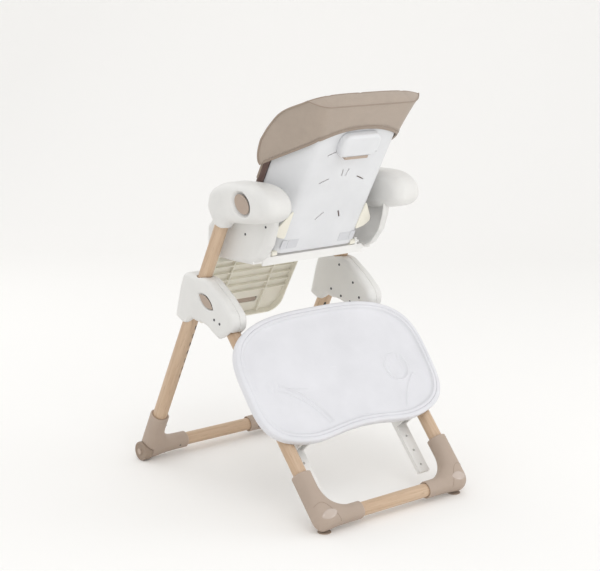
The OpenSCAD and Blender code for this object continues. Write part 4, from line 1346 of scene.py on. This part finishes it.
roll_x = np.linspace(-1, 1, 121)
roll_radius = 19.0 * np.maximum(1 - np.abs(roll_x) ** 12, 0.02) ** 0.5 - sum(
    groove(roll_x * 156 - k, 5.0, 3.0) for k in (-96, -32, 32, 96))
around = np.linspace(0, 2 * np.pi, 40, endpoint=False)
front_roll = close_ends(edit(grid_object("seat_front_roll", np.stack(
    [roll_x[:, None] * 156.0 + 0 * around, -182.0 + roll_radius[:, None] * np.cos(around),
     636.0 + roll_radius[:, None] * np.sin(around)], -1), wrap_columns=True)))
dress(front_roll, "seat", "pad", "pad_leatherette", "seat_pad")


def legrest_channels(x, y):
    return sum(groove(x - k, 5.0, 6.0) for k in (-50, 50)) + groove(y - 60, 5.0, 3.0) + groove(y - 130, 5.0, 3.0)


def legrest_spot(p):
    """Stands the pad against the legrest panel: y becomes the distance down the panel."""
    return out_of(LEGREST, np.stack([p[:, 0], -3.6 - p[:, 2], -34.0 - p[:, 1]], -1))


legrest_pad = cushion("legrest_cushion", 144.0, 182.0, 20.0, legrest_channels, legrest_spot, 5.0)
puff_up(legrest_pad, 1.5, 3.0)
dress(legrest_pad, "legrest", "pad", "pad_leatherette", "legrest_pad")

# %% [markdown]
# The back pad lines the shell: its section is the bent sheet again, 6 mm inside the shell, with a
# foam depth that is thick in the wings and thinner where the back rests. Its edge rolls over the
# wings' front edge, where a strip of it shows below the hood.

# %% Back pad
def pad_front(d):
    return shell_front(d) + 6.0


pad_d = np.concatenate([[24.0, 24.6, 26.4, 29.5, 34.0], np.linspace(40, 408, 110),
                        [418.0, 424.5, 428.5, 431.0, 431.6]])
edge_fall = np.clip((1 - np.abs(np.linspace(-1, 1, len(pad_d))) ** 40), 0, 1) ** 0.5
reach = 122.0 + (pad_front(pad_d) * 0.995) * math.hypot(0.4, 1)
section = np.linspace(-1, 1, 141)
c_pad = section[None] * reach[:, None]
x_pad, w_pad = bent_sheet(np.abs(c_pad), 122.0, 0.42, 16.0)
depth = 26.0 * np.maximum(1 - np.abs(section) ** 14, 0)[None] ** 0.5 * edge_fall[:, None]
lines = (groove(pad_d[:, None] - 120, 6, 7) + groove(pad_d[:, None] - 210, 6, 7) + groove(pad_d[:, None] - 300, 6, 7)
         + groove(np.abs(c_pad) - 78, 6, 8))
front_depth = np.maximum(depth - lines * (depth / 26.0), 0.2 * depth)
towards = np.clip((np.abs(c_pad) - 100) / 60, 0, 1) * 0.92
nx, nw = -np.sin(towards * 1.15), np.cos(towards * 1.15)
sign = np.sign(c_pad)
outer_pad = np.stack([sign * x_pad, -w_pad - 4.6, pad_d[:, None] + 0 * c_pad], -1)
inner_pad = np.stack([sign * (x_pad + nx * front_depth), -w_pad - 4.6 - nw * front_depth,
                      pad_d[:, None] + 0 * c_pad], -1)
back_front, back_rear = (grid_object("back_cushion", inner_pad, place=BACK),
                         grid_object("back_cushion_rear", outer_pad, place=BACK))
back_pad = edit(join("back_cushion", back_front, back_rear))
back_pad = close_ends(back_pad)
puff_up(back_pad, 1.0, 2.5)
dress(back_pad, "backrest", "pad", "pad_leatherette", "back_pad")
print("pads:", [len(o.data.polygons) for o in (seat_pad, legrest_pad, back_pad)])

# %% [markdown]
# Between the hood and the armrest the pad's rolled edge shows past the wing: a fat roll of the dark
# leatherette with a lighter bound edge outside it. Both are tubes that follow the wing's front.

# %% Rolled edges of the back pad
for look, name, start, half_width, forward, radius in (("pad", "pad_roll", 116.0, 171.0, 0.0, 9.0),
                                                       ("hem", "pad_bound_edge", 172.0, 179.0, 3.0, 3.6)):
    roll_d = np.linspace(start, 318.0, 60)
    roll_w = np.minimum(shell_front(roll_d) + 9.0, 106.0)
    lean_in = 12.0 * np.clip((150 - roll_d) / 60, 0, 1)
    roll_path = np.stack([half_width - lean_in, -roll_w - forward, roll_d], -1)
    roll = tube(name + "_left", out_of(BACK, roll_path), radius, sides=16)
    dress_pair(roll, "backrest", look, "pad_leatherette" if look == "pad" else "leatherette", "back_pad")
    print(roll.name, len(roll.data.polygons), "faces")

# %% [markdown]
# ## Screws, notches and badges
# Small fittings are set onto finished surfaces. A ray finds the surface point and its normal, and
# the fitting is built there: a domed head with a cross recess, a lens-shaped badge, or a thin line.

# %% Fittings on surfaces
def surface_hits(obj, starts, direction):
    """Where rays from starts (mm) along direction meet the mesh: points (mm) and outward normals."""
    tree = BVHTree.FromObject(obj, bpy.context.evaluated_depsgraph_get())
    points, normals = [], []
    for start in starts:
        hit, normal, _, _ = tree.ray_cast(Vector(start * MM), Vector(direction))
        if hit is not None:
            points.append(np.array(hit) / MM)
            normals.append(np.array(normal) * (-1 if normal.dot(Vector(direction)) > 0 else 1))
    return np.array(points), np.array(normals)


def frame_at(normal):
    """Two unit vectors square to the normal."""
    n = normal / np.linalg.norm(normal)
    u = np.cross(n, [0.0, 0.0, 1.0] if abs(n[2]) < 0.9 else [0.0, 1.0, 0.0])
    u /= np.linalg.norm(u)
    return u, np.cross(n, u), n


def screw_head(centre, normal, radius, rings=12, spokes=48):
    """Pan head: dome h (1 - r^2)^0.5 with a cross-shaped recess; returns points and faces."""
    u, v, n = frame_at(np.asarray(normal, float))
    r = np.concatenate([np.linspace(0, 0.96, rings), [1.0, 1.0]])
    a = np.linspace(0, 2 * np.pi, spokes, endpoint=False)
    x, y = r[:, None] * np.cos(a), r[:, None] * np.sin(a)
    h = 0.42 * np.sqrt(np.maximum(1 - r ** 2, 0))[:, None] + 0 * a
    cross = ((np.abs(x) < 0.15) | (np.abs(y) < 0.15)) & (np.hypot(x, y) < 0.62)
    h = np.where(cross, h - 0.3, h)
    h[-1] = -0.5
    points = np.asarray(centre) + radius * (x[..., None] * u + y[..., None] * v + h[..., None] * n)
    return points.reshape(-1, 3), grid_faces(len(r), spokes, wrap_columns=True)


def screws(name, spots, radius):
    """One object with a head at every (centre, normal)."""
    parts = [screw_head(c, n, radius) for c, n in spots]
    step = len(parts[0][0])
    return edit(mesh_object(name, np.concatenate([q for q, _ in parts]),
                            np.concatenate([f + step * k for k, (_, f) in enumerate(parts)])))


inner_spots = [(-74, 550), (-16, 508), (-108, 476), (-66, 462), (-28, 452), (10, 470)]
outer_spots = [(-25, 470), (-2, 463)]
hub_spots = []
for sign_x in (1, -1):
    hub_spots += [((sign_x * 208.6, y, z), (-sign_x, 0, 0)) for y, z in inner_spots]
    hub_spots += [((sign_x * 261.3, y, z), (sign_x, 0, 0)) for y, z in outer_spots]
dress(screws("hub_screw_heads", hub_spots, 3.6), "front_frame", "screw", "steel", "hub_screws")
side_spots = [((s * 206.2, y, z), (s, 0, 0)) for s in (1, -1) for y, z in ((38, 697), (122, 726))]
dress(screws("side_screw_heads", side_spots, 3.2), "seat", "screw", "steel", "side_screws")

for side, s in SIDES.items():
    boot = bpy.data.objects[f"front_corner_boot_{side}"]
    starts = np.array([out_of(FRONT, [-u, 70.0, v]) for u, v in ((19, 92), (92, 2), (44, -16))]) * [s, 1, 1]
    hits, normals = surface_hits(boot, starts, turned(np.array([0.0, -1.0, 0.0]), FRONT_LEAN))
    spots = [(h - 0.5 * n, n) for h, n in zip(hits, normals)]
    dress(screws(f"front_boot_screws_{side}", spots, 3.0), "front_frame", "screw", "steel", "boot_screws")

# %% [markdown]
# The height notches are slots in the lower tubes. Their walls are in deep shade, so each gets a black liner as
# painted shade: a rounded tablet just below the tube's surface.

# %% Notch liners and strap slot
def tablet(centre, long_axis, wide_axis, out_axis, length, width, depth, count=40):
    """A rounded tablet: the superellipse |u|^3 + |v|^3 = 1 with a shallow dome."""
    a = np.linspace(0, 2 * np.pi, count, endpoint=False)
    r = np.array([0.0, 0.5, 0.9, 1.0, 1.0])
    h = np.array([0.0, 0.0, -0.1, -0.3, -1.0]) * depth
    e = 2.0 / 3.2
    u = np.sign(np.cos(a)) * np.abs(np.cos(a)) ** e * length / 2
    v = np.sign(np.sin(a)) * np.abs(np.sin(a)) ** e * width / 2
    points = (np.asarray(centre) + r[:, None, None] * (u[None, :, None] * long_axis + v[None, :, None] * wide_axis)
              + h[:, None, None] * out_axis)
    return points.reshape(-1, 3), grid_faces(5, count, wrap_columns=True)


def tablets(name, parts):
    step = len(parts[0][0])
    return close_ends(edit(mesh_object(name, np.concatenate([q for q, _ in parts]),
                                       np.concatenate([f + step * k for k, (_, f) in enumerate(parts)]))))


NOTCH_COUNT, NOTCH_TOP, NOTCH_PITCH, NOTCH_RADIUS = 7, 446.0, 21.0, 19.7
angle_in = math.radians(25)
out_axis = np.array([-math.sin(angle_in), math.cos(angle_in), 0.0])
wide_axis = np.array([math.cos(angle_in), math.sin(angle_in), 0.0])
parts = []
for k in range(NOTCH_COUNT):
    centre = np.array([0.0, 0.0, NOTCH_TOP - NOTCH_PITCH * k]) + out_axis * NOTCH_RADIUS
    q, f = tablet(centre, np.array([0.0, 0.0, 1.0]), wide_axis, out_axis, 14.0, 7.0, 1.2)
    parts.append((out_of(FRONT, q), f))
liner = tablets("height_notches_left", parts)
# The black liners are painted shade in the notches, not a part of the chair.
dress_pair(liner, "front_frame", "black", "dark_rubber")

slot_part, slot_faces = tablet((0.0, 1.2, -188.5), np.array([1.0, 0, 0]), np.array([0, 0, 1.0]),
                               np.array([0, 1.0, 0]), 124.0, 16.0, 3.0)
slot_plate = close_ends(edit(mesh_object("footrest_strap_slot", out_of(LEGREST, slot_part), slot_faces)))
dress(slot_plate, "legrest", "taupe", "taupe_plastic")
print("notch liner:", len(liner.data.polygons), "faces")

# %% [markdown]
# Each rear boot carries a glossy lens-shaped badge without any mark, and a moulded parting line
# sweeps over it. Both are laid onto the boot by rays, so that they follow its curve.

# %% Badges and parting lines
def laid_patch(obj, place, s, centre, turn, length, width, height, rings=14, spokes=72):
    """A leaf-shaped dome on the boot: ring points are dropped onto the surface and lifted by
    height * (1 - r^4) along its normal."""
    a = np.linspace(0, 2 * np.pi, spokes, endpoint=False)
    r = np.linspace(0.001, 1.0, rings)
    c, t = math.cos(math.radians(turn)), math.sin(math.radians(turn))
    lu = r[:, None] * np.cos(a) * length / 2
    lv = r[:, None] * np.sign(np.sin(a)) * np.abs(np.sin(a)) ** 1.35 * width / 2
    u, v = centre[0] + lu * c - lv * t, centre[1] + lu * t + lv * c
    starts = out_of(place, np.stack([-u, np.full_like(u, 80.0), v], -1)).reshape(-1, 3) * [s, 1, 1]
    hits, normals = surface_hits(obj, starts, turned(np.array([0.0, -1.0, 0.0]), place[1]))
    lift = (height * (1 - r ** 4) + 0.15 - 0.5 * (r > 0.99))[:, None] + 0 * a
    points = hits + normals * lift.reshape(-1, 1)
    return close_ends(edit(mesh_object("patch", points, grid_faces(rings, spokes, wrap_columns=True))))


for side, s in SIDES.items():
    boot = bpy.data.objects[f"rear_corner_boot_{side}"]
    badge = laid_patch(boot, REAR, s, (12.0, 5.0), 6.0, 50.0, 25.0, 1.5)
    badge.name = badge.data.name = f"corner_badge_{side}"
    dress(badge, "rear_frame", "taupe_gloss", "taupe_plastic", "boot_badges")
    t = np.linspace(0, 1, 60)
    u = -20.0 + 62.0 * t
    v = 34.0 - 52.0 * t + 26.0 * np.sin(np.pi * t)
    starts = out_of(REAR, np.stack([-u, np.full_like(u, 80.0), v], -1)) * [s, 1, 1]
    hits, normals = surface_hits(boot, starts, turned(np.array([0.0, -1.0, 0.0]), REAR_LEAN))
    line = tube(f"boot_parting_line_{side}", hits + normals * 0.1, 0.55, sides=8)
    dress(line, "rear_frame", "tyre", "taupe_plastic")

# %% [markdown]
# ## Harness
# Two shoulder straps and two lap belts of flat webbing end at a round buckle. The straps lie on the
# back pad and sag a little between their slots; each lap belt leaves the buckle flat and climbs to
# the side of the pad. The buckle is a moulded disc with a pressed rim and a central button.

# %% Straps, belts and buckle
STRAP_WIDTH, STRAP_FLATNESS = 25.0, 0.08
UP = np.array([0.0, 0.0, 1.0])


def woven_band(name, path, up):
    """A flat woven band, 25 mm across and 2 mm thick, along a path in millimetres."""
    return close_ends(tube(name, path, STRAP_WIDTH / 2, sides=24, flatten=STRAP_FLATNESS, up=up))


STRAP_LOW, STRAP_HIGH = 104.0, 306.0
strap_d = np.linspace(STRAP_LOW, STRAP_HIGH, 60)
strap_share = (strap_d - STRAP_LOW) / (STRAP_HIGH - STRAP_LOW)
strap_sag = 1.6 * np.sin(np.pi * strap_share) ** 2
strap_path = np.stack([60.0 - 12.0 * strap_share, -35.2 - strap_sag, strap_d], -1)
strap = woven_band("shoulder_strap_left", out_of(BACK, strap_path), turned(np.array([0.0, -1.0, 0.0]), BACK_LEAN))
dress_pair(strap, "backrest", "webbing", "webbing", "shoulder_straps")
belt_t = np.linspace(0.0, 1.0, 50)
belt_path = np.stack([20.0 + 124.0 * belt_t, -53.0 - 26.0 * belt_t, 662.5 + 1.5 * np.sin(np.pi * belt_t)], -1)
belt = woven_band("lap_belt_left_half", belt_path, UP)
dress_pair(belt, "seat", "webbing", "webbing", "lap_belt")
crotch_t = np.linspace(0.0, 1.0, 40)
crotch_path = np.stack([0 * crotch_t, -58.0 - 44.0 * crotch_t, 663.0 - 3.5 * crotch_t ** 2], -1)
crotch = woven_band("crotch_strap", crotch_path, UP)
dress(crotch, "seat", "webbing", "webbing", "lap_belt")
buckle_rings = np.array([(0.0, 661.0), (18.0, 661.0), (21.4, 662.0), (22.2, 664.5), (21.6, 668.0), (19.6, 670.4),
                         (16.6, 671.2), (13.4, 670.6), (12.6, 669.4), (11.6, 669.6), (10.6, 671.0), (8.0, 672.0),
                         (0.0, 672.4)])
buckle_run, buckle_z = (np.interp(np.linspace(0, 12, 73), np.arange(13), column) for column in buckle_rings.T)
turn = np.linspace(0, 2 * np.pi, 96, endpoint=False)
buckle = edit(grid_object("harness_buckle", np.stack([buckle_run[:, None] * np.cos(turn),
                                                      buckle_run[:, None] * np.sin(turn) - 52.0,
                                                      buckle_z[:, None] + 0 * turn], -1), wrap_columns=True))
dress(buckle, "seat", "black", "pom", "buckle")
print("harness:", [len(o.data.polygons) for o in (strap, belt, crotch, buckle)])

# %% [markdown]
# ## Camera, light and floor
# A long lens from behind and a little above, a pale floor with a curved backdrop, one broad key
# light and gentle fill from all round, so that the pale pieces keep their edges.

# %% Camera
AZIMUTH, ELEVATION, LENS = 140.469, 11.853, 90.0
camera_data = bpy.data.cameras.new("camera")
camera_data.lens = LENS
camera_data.sensor_width = 36.0
camera = bpy.data.objects.new("camera", camera_data)
camera.location = (2.4934, 3.0285, 1.3535)
camera.rotation_euler = (math.radians(90 - ELEVATION), 0.0, math.radians(AZIMUTH))
bpy.context.scene.collection.objects.link(camera)
bpy.context.scene.camera = camera
print("camera:", LENS, "mm lens")

# %% Floor and light
def sweep_floor():
    """A floor that turns up into a wall behind the chair, as seen from the camera: a quarter circle
    of 1.5 m radius joins the two."""
    reach, wall, radius = 9000.0, 6000.0, 1500.0
    across = np.linspace(-9000, 9000, 3)
    a = np.radians(np.linspace(0, 90, 24))
    along = np.concatenate([[-reach], 3200 + radius * np.sin(a), [3200 + radius]])
    height = np.concatenate([[0.0], radius * (1 - np.cos(a)), [wall]])
    u, v = np.meshgrid(along, across, indexing="ij")
    z = np.repeat(height[:, None], 3, 1)
    turn = math.radians(AZIMUTH)
    away = np.array([-math.sin(turn), math.cos(turn)])
    sideways = np.array([math.cos(turn), math.sin(turn)])
    xy = u[..., None] * away + v[..., None] * sideways
    return grid_object("floor", np.concatenate([xy, z[..., None]], -1))


floor = sweep_floor()
floor.data.materials.append(new_material("pale floor", linear(251, 250, 248), 0.9)[0])

world = bpy.data.worlds.new("studio")
bpy.context.scene.world = world
world.use_nodes = True
world.node_tree.nodes["Background"].inputs["Color"].default_value = (1.0, 1.0, 1.0, 1.0)
world.node_tree.nodes["Background"].inputs["Strength"].default_value = 0.86


def lamp(name, place, aim, size, power):
    """A square area lamp at place, facing aim."""
    data = bpy.data.lights.new(name, "AREA")
    data.size, data.energy = size, power
    obj = bpy.data.objects.new(name, data)
    obj.location = place
    obj.rotation_euler = (Vector(aim) - Vector(place)).to_track_quat("-Z", "Y").to_euler()
    bpy.context.scene.collection.objects.link(obj)


lamp("key", (1.4, 2.8, 3.4), (0.0, 0.0, 0.5), 2.4, 30.0)
lamp("fill", (-2.8, 1.6, 2.2), (0.0, 0.0, 0.5), 2.5, 9.0)
lamp("low fill", (-1.6, 2.2, 0.35), (0.0, -0.1, 0.5), 0.8, 5.0)
lamp("front fill", (0.6, -3.0, 2.4), (0.0, 0.0, 0.5), 2.5, 14.0)
bpy.context.scene.view_settings.view_transform = "Standard"
